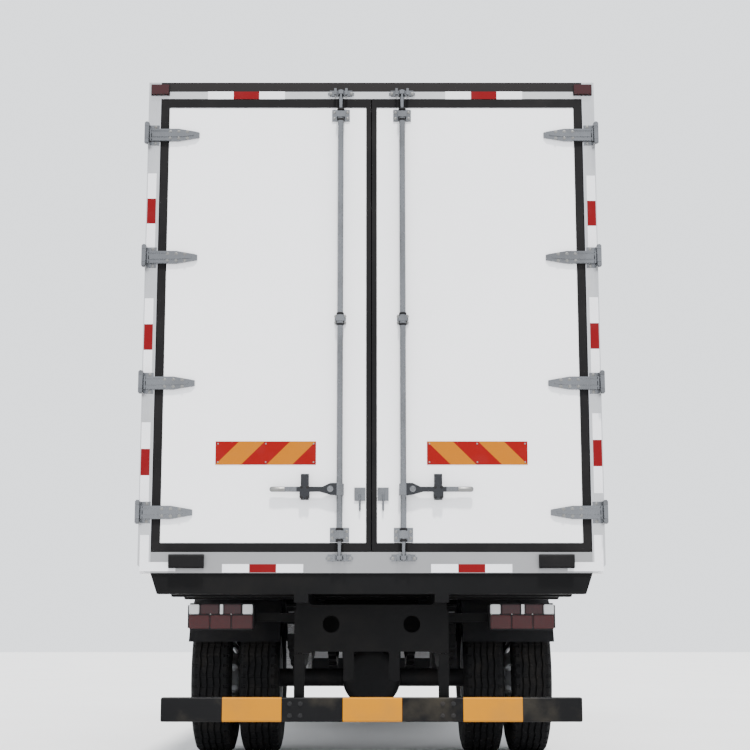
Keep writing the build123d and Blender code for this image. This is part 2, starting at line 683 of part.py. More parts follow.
def tyre(x):
    """Outline from one bead over the tread to the other."""
    bead = RIM_WIDTH / 2 - 10 - SEAT
    wide = TYRE_WIDTH / 2
    inner = RIM_SEAT_R + SEAT
    tread = wide - 24
    right = Line((bead, inner), (bead, FLANGE_R + 4))
    side = ThreePointArc((bead, FLANGE_R + 4), (wide, TYRE_R - 100), (tread + 9, TYRE_R - 14))
    shoulder = Line((tread + 9, TYRE_R - 14), (tread - 6, TYRE_R))
    top = Line((tread - 6, TYRE_R), (-tread + 6, TYRE_R))
    shoulder_2 = Line((-tread + 6, TYRE_R), (-tread - 9, TYRE_R - 14))
    side_2 = ThreePointArc((-tread - 9, TYRE_R - 14), (-wide, TYRE_R - 100), (-bead, FLANGE_R + 4))
    left = Line((-bead, FLANGE_R + 4), (-bead, inner))
    base = Line((-bead, inner), (bead, inner))
    face = make_face([right, side, shoulder, top, shoulder_2, side_2, left, base])
    ring = revolve(Plane.XZ * face, axis=Axis.X)
    for groove in TREAD_GROOVES:
        cut = turned(((groove - 6, TYRE_R - 13), (groove + 6, TYRE_R - 13), (groove + 6, TYRE_R + 9), (groove - 6, TYRE_R + 9)))
        ring -= cut
    return Pos(x, 0, 0) * ring


TREAD_GROOVES = (-66.0, -22.0, 22.0, 66.0)


def place(shape, y):
    return Pos(0, y, AXLE_Z) * shape


def wheels():
    x = FRONT_TRACK_HALF
    front = rim(x, 1)
    disc_face = x + WHEEL_OFFSET
    drum_in = KINGPIN_X + 84 + 12
    front += rod_x(drum_in, disc_face - DISC, 0, 0, DRUM_R)
    front += rod_x(disc_face - DISC, disc_face + 34, 0, 0, HUB_R)
    front += rod_x(disc_face + 34, disc_face + 62, 0, 0, CAP_R)
    front -= rod_x(drum_in - 1, SPINDLE_END + 10, 0, 0, SPINDLE_R + RUNNING_FIT)
    front = place(front, FRONT_AXLE)
    front_tyre = place(tyre(x), FRONT_AXLE)
    node("rim_front_right", front)
    node("rim_front_left", flip(front))
    node("tyre_front_right", front_tyre)
    node("tyre_front_left", flip(front_tyre))
    rear = rim(REAR_OUTER_X, -1) + rim(REAR_INNER_X, 1)
    contact = REAR_INNER_X + WHEEL_OFFSET
    drum_start = REAR_INNER_X - 85
    rear += rod_x(drum_start, contact - DISC, 0, 0, DRUM_R)
    rear += rod_x(contact - DISC, contact + DISC + 70, 0, 0, HUB_R)
    rear += rod_x(contact + DISC, TUBE_END + 60, 0, 0, 105)
    rear -= rod_x(drum_start - 1, TUBE_END + 10, 0, 0, REAR_TUBE_R + RUNNING_FIT)
    rear = place(rear, REAR_AXLE)
    pair = [place(tyre(REAR_OUTER_X), REAR_AXLE), place(tyre(REAR_INNER_X), REAR_AXLE)]
    node("rims_rear_right", rear)
    node("rims_rear_left", flip(rear))
    node("tyres_rear_right", *pair)
    node("tyres_rear_left", *[flip(piece) for piece in pair])


# Boxes and tanks on the frame
TANK_Y = (FRONT_AXLE - 2370, FRONT_AXLE - 1420)
BATTERY_Y = (FRONT_AXLE - 1570, FRONT_AXLE - 1020)
AIR_TANK_Y = (FRONT_AXLE - 2770, FRONT_AXLE - 1820)
SILENCER_Y = (FRONT_AXLE - 1270, FRONT_AXLE - 690)
GUARD_RAIL_Y = (REAR_AXLE + 640, FRONT_AXLE - 2790)
GUARD_POSTS = (REAR_AXLE + 700, REAR_AXLE + 1350, REAR_AXLE + 2000)
GUARD_RAIL_Z = ((460, 560), (760, 860))


def chassis_items():
    tank = block(-1180, -560, TANK_Y[0], TANK_Y[1], 430, 960)
    tank = fillet(tank.edges().filter_by(Axis.Y), 70)
    for y in (TANK_Y[0] + 150, TANK_Y[1] - 150):
        tank += block(-560, -RAIL_OUTER, y - 35, y + 35, RAIL_BOTTOM + 20, RAIL_TOP - 30)
    node("fuel_tank", tank)
    box = block(560, 1120, BATTERY_Y[0], BATTERY_Y[1], 480, 920)
    box = fillet(box.edges().filter_by(Axis.Y).group_by(Axis.Z)[-1], 40)
    box += block(RAIL_OUTER, 560, BATTERY_Y[0] + 150, BATTERY_Y[0] + 400, RAIL_BOTTOM + 20, RAIL_TOP - 30)
    air = []
    for x, z in ((640, 800), (900, 620)):
        air.append(rod_y(x, AIR_TANK_Y[0], AIR_TANK_Y[1], z, 130))
    tanks = air[0]
    tanks = fillet(tanks.edges().filter_by(GeomType.CIRCLE), 50)
    second = fillet(air[1].edges().filter_by(GeomType.CIRCLE), 50)
    for y in (AIR_TANK_Y[0] + 200, AIR_TANK_Y[1] - 200):
        tanks += block(RAIL_OUTER, 900, y - 20, y + 20, 715, 745)
    tanks += second
    node("battery_and_air_tanks", box, tanks)
    rails = []
    for z0, z1 in GUARD_RAIL_Z:
        rails.append(block(1190, 1220, GUARD_RAIL_Y[0], GUARD_RAIL_Y[1], z0, z1))
    guard = rails[0] + rails[1]
    for y in GUARD_POSTS:
        guard += block(1140, 1190, y - 25, y + 25, GUARD_RAIL_Z[0][0], BOX_BOTTOM - BEAM_HEIGHT)
    node("side_guards", *both(guard))


ENGINE_Y = (FRONT_AXLE - 550, FRONT_AXLE + 570)
ENGINE_Z = (570.0, 1090.0)
GEARBOX_BACK = FRONT_AXLE - 1270
GEARBOX_Z = (620.0, 950.0)
SHAFT_Z = 720.0
SILENCER_X = 720.0
SILENCER_Z = 640.0


def powertrain():
    engine = block(-290, 290, *ENGINE_Y, *ENGINE_Z)
    engine = fillet(engine.edges().filter_by(Axis.Y).group_by(Axis.Z)[-1], 60)
    gearbox = block(-190, 190, GEARBOX_BACK, ENGINE_Y[0], *GEARBOX_Z)
    gearbox = fillet(gearbox.edges().filter_by(Axis.Y), 60)
    mounts = block(-INSIDE, INSIDE, FRONT_AXLE - 130, FRONT_AXLE - 50, 790, 850)
    start = Vector(0, GEARBOX_BACK + 10, SHAFT_Z)
    end = Vector(0, REAR_AXLE + NOSE + 50, AXLE_Z)
    run = end - start
    shaft = Plane(origin=(start + end) / 2, z_dir=run) * Cylinder(48, run.length)
    flange = rod_y(0, REAR_AXLE + NOSE, REAR_AXLE + NOSE + 60, AXLE_Z, 75)
    silencer = rod_y(-SILENCER_X, *SILENCER_Y, SILENCER_Z, 165)
    silencer = fillet(silencer.edges().filter_by(GeomType.CIRCLE), 40)
    middle = sum(SILENCER_Y) / 2
    silencer += block(-SILENCER_X, -RAIL_OUTER, middle - 30, middle + 30, RAIL_BOTTOM + 30, RAIL_BOTTOM + 90)
    silencer += rod_y(-SILENCER_X, SILENCER_Y[1] - 5, SILENCER_Y[1] + 60, SILENCER_Z, 40)
    node("powertrain", engine + gearbox + mounts + shaft + flange, silencer)


# Front mudguards, steps and bumper
FRONT_GUARD_X = (880.0, CAB_HALF - 15)
STEP_Y = (FRONT_AXLE + 600, CAB_FRONT - 190)
STEP_OUT = CAB_HALF - 10
STEP_IN = STEP_OUT - 250
STEP_DEEP = 130.0
STEP_TOP = CAB_BOTTOM - 14
STEPS = ((450, 650), (705, 885))


def front_mudguards():
    arch = along_x(arch_ring(FRONT_AXLE, MUDGUARD_R, 150), *FRONT_GUARD_X)
    for y in (-460, 460):
        arch += rod_x(RAIL_OUTER, FRONT_GUARD_X[0] + 30, FRONT_AXLE + y, AXLE_Z + sqrt((MUDGUARD_R + 3) ** 2 - 460 ** 2), 18)
    steps = block(STEP_IN, STEP_OUT, STEP_Y[0], STEP_Y[1], 400, STEP_TOP)
    for z0, z1 in STEPS:
        steps -= block(STEP_OUT - STEP_DEEP, STEP_OUT + 10, STEP_Y[0] + 30, STEP_Y[1] - 30, z0, z1)
    steps += block(RAIL_OUTER, STEP_IN, STEP_Y[0] + 40, STEP_Y[0] + 100, RAIL_BOTTOM + 6, RAIL_BOTTOM + 46)
    node("front_mudguards", *both(arch), *both(steps))


BUMPER_HALF = CAB_HALF + 30
BUMPER_BOTTOM = 400.0
BUMPER_DEEP = 120.0
BUMPER_SIDE = 238.0
BUMPER_SKIN = 70.0
HEADLAMP_X = (690.0, 1010.0)
HEADLAMP_Z = (620.0, 790.0)


def outside_bumper(spot, y0):
    return spot.Y > y0 + 10 or (spot.Y > y0 - 30 and abs(spot.X) > BUMPER_HALF - BUMPER_SKIN + 8)


def bumper():
    y1 = CAB_FRONT + BUMPER_PROUD
    y0 = y1 - BUMPER_DEEP
    yb = y1 - BUMPER_SIDE
    plan = outline(
        (-BUMPER_HALF, yb), (-BUMPER_HALF, y1 - 130), (-BUMPER_HALF + 160, y1), (BUMPER_HALF - 160, y1),
        (BUMPER_HALF, y1 - 130), (BUMPER_HALF, yb), (BUMPER_HALF - BUMPER_SKIN, yb),
        (BUMPER_HALF - BUMPER_SKIN, y0), (-BUMPER_HALF + BUMPER_SKIN, y0), (-BUMPER_HALF + BUMPER_SKIN, yb),
    )
    shape = along_z(plan, BUMPER_BOTTOM, BUMPER_TOP)
    corners = shape.edges().filter_by(Axis.Z).filter_by(lambda e: e.center().Y > y1 - 131 and e.center().Y > y0 - 20)
    corners = [e for e in corners if abs(e.center().X) > BUMPER_HALF - BUMPER_SKIN + 1 or e.center().Y > y1 - 1]
    shape = fillet(corners, 60)
    brim = [e for e in shape.edges() if e.center().Z > BUMPER_TOP - 1 and outside_bumper(e.center(), y0)]
    shape = fillet(brim, 50)
    lamps = []
    for side in (-1, 1):
        x0, x1 = sorted((side * HEADLAMP_X[0], side * HEADLAMP_X[1]))
        shape -= block(x0, x1, y1 - 70, y1 + 10, *HEADLAMP_Z)
        lamp = block(x0, x1, y1 - 70, y1 - 2, *HEADLAMP_Z)
        lamps.append(lamp)
    shape -= block(-480, 480, y1 - 30, y1 + 10, 560, 700)
    for side in (-1, 1):
        x0, x1 = sorted((side * (RAIL_OUTER - RAIL_FLANGE), side * RAIL_OUTER))
        shape += block(x0, x1, RAIL_FRONT, y0 + 1, RAIL_BOTTOM, RAIL_BOTTOM + 100)
    node("front_bumper", shape)
    node("headlamps", *lamps)


# Cab: one outer form, made hollow and parted where the real panels meet
CAB_CORNER = 110.0
SCREEN_BASE = 1850.0
SCREEN_TOP = CAB_ROOF - 180
SCREEN_SIDE = 190.0
SCREEN_TAPER = 50.0
SCREEN_SILL = 60.0
SCREEN_HEAD = 70.0
SCREEN_RAKE = 190.0
ROOF_RAKE = 400.0
DOOR_FRONT = CAB_FRONT - 250
DOOR_BACK = CAB_BACK + 600
DOOR_BOTTOM = CAB_BOTTOM + 50
DOOR_TOP = CAB_ROOF - 220
DOOR_SLANT = 170.0
WINDOW_BASE = SCREEN_BASE + 30
WINDOW_RIM = 75.0
CAB_HINGE_X = CAB_HALF + 10.0
CAB_HINGE_Y = DOOR_FRONT - DOOR_CLEAR / 2
CAB_HINGE_Z = (1180.0, 1700.0)
CAB_HINGE_R = 10.0
CAB_HINGE_TALL = 60.0


def cab_form(inset):
    """The cab's outside moved in by inset, as a solid."""
    face = outline(
        (CAB_FRONT, CAB_BOTTOM), (CAB_FRONT, SCREEN_BASE), (CAB_FRONT - SCREEN_RAKE, SCREEN_TOP),
        (CAB_FRONT - ROOF_RAKE, CAB_ROOF), (CAB_BACK, CAB_ROOF), (CAB_BACK, CAB_BOTTOM),
    )
    rounds = face.vertices().sort_by(Axis.X)
    base = [v for v in rounds if v.X > CAB_FRONT - 1 and v.Y > SCREEN_BASE - 1]
    brow = [v for v in rounds if abs(v.Y - SCREEN_TOP) < 1]
    crown = [v for v in rounds if v.Y > CAB_ROOF - 1 and v.X > CAB_BACK + 1]
    tail = [v for v in rounds if v.Y > CAB_ROOF - 1 and v.X < CAB_BACK + 1]
    face = fillet(base, 300)
    face = fillet([face.vertices().sort_by_distance((brow[0].X, brow[0].Y, 0))[0]], 160)
    face = fillet([face.vertices().sort_by_distance((crown[0].X, crown[0].Y, 0))[0]], 160)
    face = fillet([face.vertices().sort_by_distance((tail[0].X, tail[0].Y, 0))[0]], 60)
    if inset > 0:
        face = offset(face, amount=-inset).face()
    half = CAB_HALF - inset
    solid = along_x(face, -half, half)
    round_edges = []
    for edge in solid.edges():
        spot = edge.center()
        if abs(abs(spot.X) - half) < 0.5 and (spot.Y > CAB_BACK + inset + 2) and spot.Z > CAB_BOTTOM + inset + 2:
            round_edges.append(edge)
    return fillet(round_edges, CAB_CORNER - inset)


def wide(points):
    """A prism over the whole width from (y, z) points."""
    return along_x(outline(*points), -CAB_HALF * 2, CAB_HALF * 2)


def door_face(shrink):
    arch_y = sqrt(ARCH_R ** 2 - (DOOR_BOTTOM - AXLE_Z) ** 2)
    face = outline(
        (DOOR_FRONT, DOOR_BOTTOM), (DOOR_FRONT, SCREEN_BASE), (DOOR_FRONT - DOOR_SLANT, DOOR_TOP),
        (DOOR_BACK, DOOR_TOP), (DOOR_BACK, DOOR_BOTTOM), (FRONT_AXLE + arch_y, DOOR_BOTTOM),
    )
    face -= Pos(FRONT_AXLE, AXLE_Z) * Circle(ARCH_R)
    face = face.faces().sort_by(SortBy.AREA)[-1]
    if shrink:
        return offset(face, amount=-shrink, kind=Kind.INTERSECTION).face()
    return face


def window_face():
    lean = DOOR_SLANT / (DOOR_TOP - SCREEN_BASE)
    top = DOOR_TOP - WINDOW_RIM
    front = DOOR_FRONT - WINDOW_RIM - 20
    face = outline(
        (front, WINDOW_BASE), (front - lean * (top - WINDOW_BASE), top),
        (DOOR_BACK + WINDOW_RIM, top), (DOOR_BACK + WINDOW_RIM, WINDOW_BASE),
    )
    return fillet(face.vertices(), 45)


MIRROR_ARMS = (DOOR_TOP - 575, DOOR_TOP - 245)
MIRROR_ARM_R = 9.0
PILLAR_MIDDLE = 45.0


def pillar_y(z):
    """Middle of the door's slanted front frame at height z."""
    lean = DOOR_SLANT / (DOOR_TOP - SCREEN_BASE)
    return DOOR_FRONT - DOOR_CLEAR - lean * max(0.0, z - SCREEN_BASE) - PILLAR_MIDDLE


def mirror_unit():
    x = CAB_HALF
    y = (pillar_y(MIRROR_ARMS[0]) + pillar_y(MIRROR_ARMS[1])) / 2
    head = block(x + 60, x + 240, y - 52, y + 52, MIRROR_ARMS[0] - 55, MIRROR_ARMS[1] + 55)
    head = fillet(head.edges(), 16)
    for z in MIRROR_ARMS:
        head += rod_x(x - 15, x + 80, pillar_y(z), z, MIRROR_ARM_R)
    return head


def cab():
    outer = cab_form(0)
    inner = cab_form(CAB_SKIN)
    y_in = CAB_BACK + CAB_SKIN
    inside = inner + block(
        -CAB_HALF + CAB_SKIN, CAB_HALF - CAB_SKIN, y_in, CAB_FRONT - CAB_SKIN - 80, CAB_BOTTOM - 10, CAB_BOTTOM + 200)
    drop = Pos(0, 0, -100) * inner
    inside = inside + drop
    shell = outer - inside
    shell -= rod_x(-CAB_WIDTH, CAB_WIDTH, FRONT_AXLE, AXLE_Z, ARCH_R)
    shell -= block(-CAB_WIDTH, CAB_WIDTH, CAB_BACK - 10, FRONT_AXLE, CAB_BOTTOM - 20, CAB_FLOOR)
    split_y = DOOR_FRONT
    front_zone = wide((
        (split_y, CAB_BOTTOM - 50), (split_y, SCREEN_BASE), (split_y - DOOR_SLANT, DOOR_TOP),
        (split_y - DOOR_SLANT, DOOR_TOP + 20), (CAB_FRONT + 50, DOOR_TOP + 20), (CAB_FRONT + 50, CAB_BOTTOM - 50),
    ))
    front = shell & front_zone
    rest = shell - front_zone
    roof_zone = block(-CAB_WIDTH, CAB_WIDTH, CAB_BACK - 10, CAB_FRONT + 50, DOOR_TOP + 20, CAB_ROOF + 50)
    roof = rest & roof_zone
    rest = rest - roof_zone
    back_zone = block(-CAB_HALF + CAB_SKIN, CAB_HALF - CAB_SKIN, CAB_BACK - 10, CAB_BACK + CAB_SKIN + 10, 900, DOOR_TOP + 20)
    back = rest & back_zone
    sides = rest - back_zone
    opening = along_x(door_face(0), -CAB_WIDTH, CAB_WIDTH)
    leaf = along_x(door_face(DOOR_CLEAR), CAB_HALF - CAB_SKIN, CAB_HALF)
    window = along_x(window_face(), CAB_HALF - CAB_SKIN - 20, CAB_HALF + 20)
    leaf = (leaf & outer) - window
    sides = sides - opening
    front = front - opening
    screen_zone = screen_opening()
    front = front - screen_zone
    screen = (cab_form(14) - cab_form(14 + GLASS_THICK)) & screen_zone
    node("windscreen", screen)
    pane = along_x(window_face(), CAB_HALF - CAB_SKIN / 2 - 3, CAB_HALF - CAB_SKIN / 2 + 3)
    leaf += mirror_unit()
    for z in CAB_HINGE_Z:
        knuckle_part = rod_z(CAB_HINGE_X, CAB_HINGE_Y, z, z + CAB_HINGE_TALL, CAB_HINGE_R)
        knuckle_part += block(CAB_HALF - 8, CAB_HINGE_X, CAB_HINGE_Y - 60, CAB_HINGE_Y, z, z + CAB_HINGE_TALL)
        leaf += knuckle_part - block(CAB_HALF - 30, CAB_HALF, DOOR_FRONT - DOOR_CLEAR, split_y + 10, z - 1, z + CAB_HINGE_TALL + 1)
        leaf -= rod_z(CAB_HINGE_X, CAB_HINGE_Y, z - 1, z + CAB_HINGE_TALL + 1, 4 + RUNNING_FIT)
        ears = rod_z(CAB_HINGE_X, CAB_HINGE_Y, z - 16, z + CAB_HINGE_TALL + 16, 4)
        for z0 in (z - 17, z + CAB_HINGE_TALL + 1):
            ears += rod_z(CAB_HINGE_X, CAB_HINGE_Y, z0, z0 + 16, CAB_HINGE_R)
            ears += block(CAB_HALF, CAB_HINGE_X, CAB_HINGE_Y, CAB_HINGE_Y + 60, z0, z0 + 16)
        front += ears + flip(ears)
    node("cab_front", front)
    node("cab_roof", roof)
    node("cab_back", back)
    node("cab_sides", sides)
    node("cab_door_right", leaf)
    node("cab_door_left", flip(leaf))
    node("door_glass_right", pane)
    node("door_glass_left", flip(pane))
    floor = inner & block(-CAB_WIDTH, CAB_WIDTH, CAB_BACK, CAB_FRONT, CAB_FLOOR, CAB_FLOOR + CAB_FLOOR_THICK)
    for side in (-1, 1):
        floor += cab_arm(side)
    node("cab_floor", floor)
    cab_inside(inner)


def screen_opening():
    low = CAB_HALF - SCREEN_SIDE
    high = low - SCREEN_TAPER
    bottom = SCREEN_BASE + SCREEN_SILL
    top = SCREEN_TOP - SCREEN_HEAD
    face = outline((-low, bottom), (low, bottom), (high, top), (-high, top))
    face = fillet(face.vertices(), 70)
    return along_y(face, CAB_FRONT - SCREEN_RAKE - 150, CAB_FRONT + 50)


ARM_GAP = 5.0
BRACKET = 12.0
ARM_THICK = 25.0
ARM_X0 = RAIL_OUTER + BRACKET + ARM_GAP


def cab_arm(side):
    top = CAB_FLOOR
    foot = outline(
        (PIVOT_Y, PIVOT_Z - 42), (PIVOT_Y, PIVOT_Z + 42), (PIVOT_Y - 330, top), (PIVOT_Y - 560, top),
        (PIVOT_Y - 560, top - 80),
    )
    arm = along_x(foot, ARM_X0, ARM_X0 + ARM_THICK)
    arm += rod_x(ARM_X0, ARM_X0 + ARM_THICK, PIVOT_Y, PIVOT_Z, 42)
    arm += block(ARM_X0, ARM_X0 + 70, CAB_BACK + CAB_SKIN + 20, PIVOT_Y - 400, top - 60, top)
    arm -= rod_x(ARM_X0 - 10, ARM_X0 + ARM_THICK + 10, PIVOT_Y, PIVOT_Z, PIVOT_R + RUNNING_FIT)
    return arm if side > 0 else flip(arm)


def cab_pivots():
    plate_face = outline(
        (PIVOT_Y, PIVOT_Z - 45), (PIVOT_Y, PIVOT_Z + 45), (PIVOT_Y - 90, RAIL_TOP - 100), (PIVOT_Y - 300, RAIL_TOP - 100),
        (PIVOT_Y - 300, RAIL_BOTTOM + 8), (PIVOT_Y - 120, RAIL_BOTTOM - 40),
    )
    plate = along_x(plate_face, RAIL_OUTER, RAIL_OUTER + BRACKET)
    plate += rod_x(RAIL_OUTER, RAIL_OUTER + BRACKET, PIVOT_Y, PIVOT_Z, 45)
    plate += rod_x(RAIL_OUTER, ARM_X0 + ARM_THICK + 8, PIVOT_Y, PIVOT_Z, PIVOT_R)
    rest = block(RAIL_OUTER - RAIL_FLANGE, ARM_X0 + 70, CAB_BACK + 90, CAB_BACK + 190, RAIL_TOP, CAB_FLOOR - 60 - DOOR_CLEAR)
    node("cab_mounts", *both(plate), *both(rest))


SEAT_X = 560.0
SEAT_Y = (CAB_BACK + 464, CAB_BACK + 944)
SEAT_BASE_TOP = CAB_FLOOR + 410
SEAT_PAD = 120.0
WHEEL_TILT = 28.0
WHEEL_HUB = (-SEAT_X, CAB_FRONT - 636, CAB_FLOOR + 810)
DASH_BOTTOM = CAB_FLOOR + 270
WHEEL_RING_R = 215.0
COLUMN_GAP = SEAT


def cab_inside(inner):
    wall = CAB_FRONT - CAB_SKIN
    floor = CAB_FLOOR + CAB_FLOOR_THICK
    dash = wide((
        (wall, DASH_BOTTOM), (wall, SCREEN_BASE), (wall - 200, SCREEN_BASE + 20), (wall - 430, SCREEN_BASE - 90),
        (wall - 400, SCREEN_BASE - 290), (wall - 220, DASH_BOTTOM),
    ))
    reach = CAB_HALF - CAB_SKIN - 12
    dash = dash & inner & block(-reach, reach, CAB_BACK, CAB_FRONT, CAB_FLOOR, CAB_ROOF)
    column = steering_axis(-460, -60 - COLUMN_GAP, 42)
    dash = dash + (column - block(-CAB_WIDTH, CAB_WIDTH, wall, wall + CAB_LENGTH, 0, CAB_ROOF))
    pieces = [dash]
    for x in (-SEAT_X, SEAT_X):
        base = block(x - 200, x + 200, SEAT_Y[0] + 40, SEAT_Y[1] - 40, floor, SEAT_BASE_TOP)
        pad = fillet(block(x - 260, x + 260, *SEAT_Y, SEAT_BASE_TOP, SEAT_BASE_TOP + SEAT_PAD).edges(), 35)
        rest = fillet((Pos(0, -40, 340) * Box(500, 120, 680)).edges(), 35)
        rest = Pos(x, SEAT_Y[0] + 30, SEAT_BASE_TOP + 80) * Rot(12, 0, 0) * rest
        pieces.append(base + pad + rest)
    node("cab_interior", *pieces)
    ring = steering_place() * Torus(WHEEL_RING_R, 15)
    hub = steering_axis(-60, 20, 55)
    spokes = None
    for angle in (0, 120, 240):
        bar = steering_place() * Rot(0, 0, angle + 90) * Pos(WHEEL_RING_R / 2, 0, 0) * Box(WHEEL_RING_R, 34, 12)
        spokes = bar if spokes is None else spokes + bar
    node("steering_wheel", ring + hub + spokes)


def steering_place():
    return Pos(*WHEEL_HUB) * Rot(WHEEL_TILT, 0, 0)


def steering_axis(low, high, r):
    return steering_place() * Pos(0, 0, (low + high) / 2) * Cylinder(r, high - low)


# Nose grille between bumper and windscreen
GRILLE_HALF = 620.0
GRILLE_Z = (1120.0, 1560.0)
GRILLE_BARS = 5
GRILLE_DEEP = 14.0


def cab_grille():
    y = CAB_FRONT
    frame = block(-GRILLE_HALF, GRILLE_HALF, y, y + GRILLE_DEEP, *GRILLE_Z)
    frame = fillet(frame.edges().filter_by(Axis.Y), 30)
    pitch = (GRILLE_Z[1] - GRILLE_Z[0] - 40) / GRILLE_BARS
    for i in range(GRILLE_BARS):
        z = GRILLE_Z[0] + 20 + pitch * i
        frame -= block(-GRILLE_HALF + 30, GRILLE_HALF - 30, y + 5, y + 40, z + 14, z + pitch - 14)
    node("cab_grille", frame)


# Refrigeration unit on the box front, evaporator behind it
GRILLE_X = 800.0
UNIT_GRILLE_Z = (UNIT_BOTTOM + 90, UNIT_BOTTOM + 560)
RECESS = 60.0
SLAT = 4.0


def refrigeration():
    y0, y1 = BOX_FRONT, BOX_FRONT + UNIT_DEPTH
    half = UNIT_WIDTH / 2
    side = outline(
        (y0, UNIT_BOTTOM), (y1 - 60, UNIT_BOTTOM), (y1, UNIT_BOTTOM + 60), (y1, UNIT_BOTTOM + UNIT_HEIGHT - 180),
        (y1 - 140, UNIT_BOTTOM + UNIT_HEIGHT), (y0, UNIT_BOTTOM + UNIT_HEIGHT),
    )
    body = along_x(side, -half, half)
    body = fillet(body.edges().filter_by(Axis.Z).group_by(Axis.Y)[-1], 70)
    body -= block(-GRILLE_X, GRILLE_X, y1 - RECESS, y1 + 10, *UNIT_GRILLE_Z)
    inner = block(-720, 720, y0 - WALL - 380, y0 - WALL, ROOF_BOTTOM - 240, ROOF_BOTTOM)
    chamfered = chamfer(inner.edges().filter_by(Axis.X).group_by(Axis.Y)[0].group_by(Axis.Z)[0], 110)
    node("refrigeration_unit", body, chamfered)
    ring = block(-GRILLE_X, GRILLE_X, y1 - RECESS, y1 - 8, *UNIT_GRILLE_Z)
    ring -= block(-GRILLE_X + 22, GRILLE_X - 22, y1 - RECESS - 5, y1, UNIT_GRILLE_Z[0] + 22, UNIT_GRILLE_Z[1] - 22)
    pitch = (UNIT_GRILLE_Z[1] - UNIT_GRILLE_Z[0] - 44) / LOUVRES
    for i in range(LOUVRES):
        z = UNIT_GRILLE_Z[0] + 22 + pitch * i
        back, front = y1 - RECESS + 8, y1 - 12
        high, low = z + pitch - SLAT, z + SLAT
        slat = wide(((back, high - SLAT), (back, high), (front, low + SLAT), (front, low)))
        ring += slat & block(-GRILLE_X + 20, GRILLE_X - 20, y0, y1, *UNIT_GRILLE_Z)
    node("unit_grille", ring)


frame()
beams()
box_body()
rear_fittings()
rear_doors()
rear_end()
axles()
steering()
wheels()
chassis_items()
powertrain()
front_mudguards()
bumper()
cab()
cab_pivots()
cab_grille()
refrigeration()

os.makedirs("parts", exist_ok=True)
for name, solids in NODES.items():
    export_step(Compound(children=solids), f"parts/{name}.step")
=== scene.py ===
import json
import math
import random

import bmesh
import bpy
from mathutils import Matrix, Vector


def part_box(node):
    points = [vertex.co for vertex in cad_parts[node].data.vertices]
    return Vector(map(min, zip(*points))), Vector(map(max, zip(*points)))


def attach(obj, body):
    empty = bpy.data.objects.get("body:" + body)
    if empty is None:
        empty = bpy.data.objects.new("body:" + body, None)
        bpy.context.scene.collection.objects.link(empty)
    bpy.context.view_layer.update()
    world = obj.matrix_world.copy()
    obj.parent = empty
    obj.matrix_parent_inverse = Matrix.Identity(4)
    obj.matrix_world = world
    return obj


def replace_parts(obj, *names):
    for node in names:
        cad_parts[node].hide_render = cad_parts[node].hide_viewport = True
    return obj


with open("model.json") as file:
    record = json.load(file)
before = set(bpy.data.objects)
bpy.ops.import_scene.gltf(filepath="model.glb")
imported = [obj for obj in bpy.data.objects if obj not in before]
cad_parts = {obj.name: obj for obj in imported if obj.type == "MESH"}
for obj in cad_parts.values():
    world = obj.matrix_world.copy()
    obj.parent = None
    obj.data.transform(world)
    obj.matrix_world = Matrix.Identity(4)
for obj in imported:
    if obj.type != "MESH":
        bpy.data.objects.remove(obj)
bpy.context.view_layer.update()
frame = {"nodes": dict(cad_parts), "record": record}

random.seed(7)

# Shared places, in metres, most of them from the frame
DOOR_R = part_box("cargo_door_right")
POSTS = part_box("rear_posts")
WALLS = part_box("box_side_walls")
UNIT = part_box("refrigeration_unit")
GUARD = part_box("underrun_guard")
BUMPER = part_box("front_bumper")

SKIN_Y = DOOR_R[0][1]
HALF = POSTS[1][0]
BOX_BOTTOM = POSTS[0][2]
BOX_TOP = POSTS[1][2]
SILL = 0.116
HEADER_H = 0.100
ROD_X = 0.178
HANDLE_Z = DOOR_R[0][2] + 0.295


# Node helpers
def new_material(name):
    mat = bpy.data.materials.new(name)
    mat.use_nodes = True
    tree = mat.node_tree
    shader = tree.nodes["Principled BSDF"]
    return mat, tree, shader


def add(tree, kind, **values):
    node = tree.nodes.new(kind)
    for key, value in values.items():
        if hasattr(node, key):
            setattr(node, key, value)
        else:
            node.inputs[key.replace("_", " ")].default_value = value
    return node


def link(tree, source, target):
    tree.links.new(source, target)


def noise(tree, scale, detail=4.0, stretch=(1, 1, 1), rough=0.55):
    """Object-space noise, stretched along the axes given."""
    coord = add(tree, "ShaderNodeTexCoord")
    mapping = add(tree, "ShaderNodeMapping")
    mapping.inputs["Scale"].default_value = stretch
    link(tree, coord.outputs["Object"], mapping.inputs["Vector"])
    tex = add(tree, "ShaderNodeTexNoise")
    tex.inputs["Scale"].default_value = scale
    tex.inputs["Detail"].default_value = detail
    tex.inputs["Roughness"].default_value = rough
    link(tree, mapping.outputs["Vector"], tex.inputs["Vector"])
    return tex.outputs["Fac"]


def ramp(tree, fac, stops, mode="LINEAR"):
    node = add(tree, "ShaderNodeValToRGB")
    node.color_ramp.interpolation = mode
    points = node.color_ramp.elements
    while len(points) < len(stops):
        points.new(0.5)
    for point, (place, colour) in zip(points, stops):
        point.position = place
        point.color = tuple(colour) + (1.0,) if len(colour) == 3 else colour
    link(tree, fac, node.inputs["Fac"])
    return node.outputs["Color"]


def grey(value):
    return (value, value, value)


def mix(tree, fac, a, b, mode="MIX"):
    node = add(tree, "ShaderNodeMixRGB", blend_type=mode)
    for socket, value in (("Fac", fac), ("Color1", a), ("Color2", b)):
        if isinstance(value, bpy.types.NodeSocket):
            link(tree, value, node.inputs[socket])
        elif socket == "Fac":
            node.inputs[socket].default_value = value
        else:
            node.inputs[socket].default_value = tuple(value) + (1.0,)
    return node.outputs["Color"]


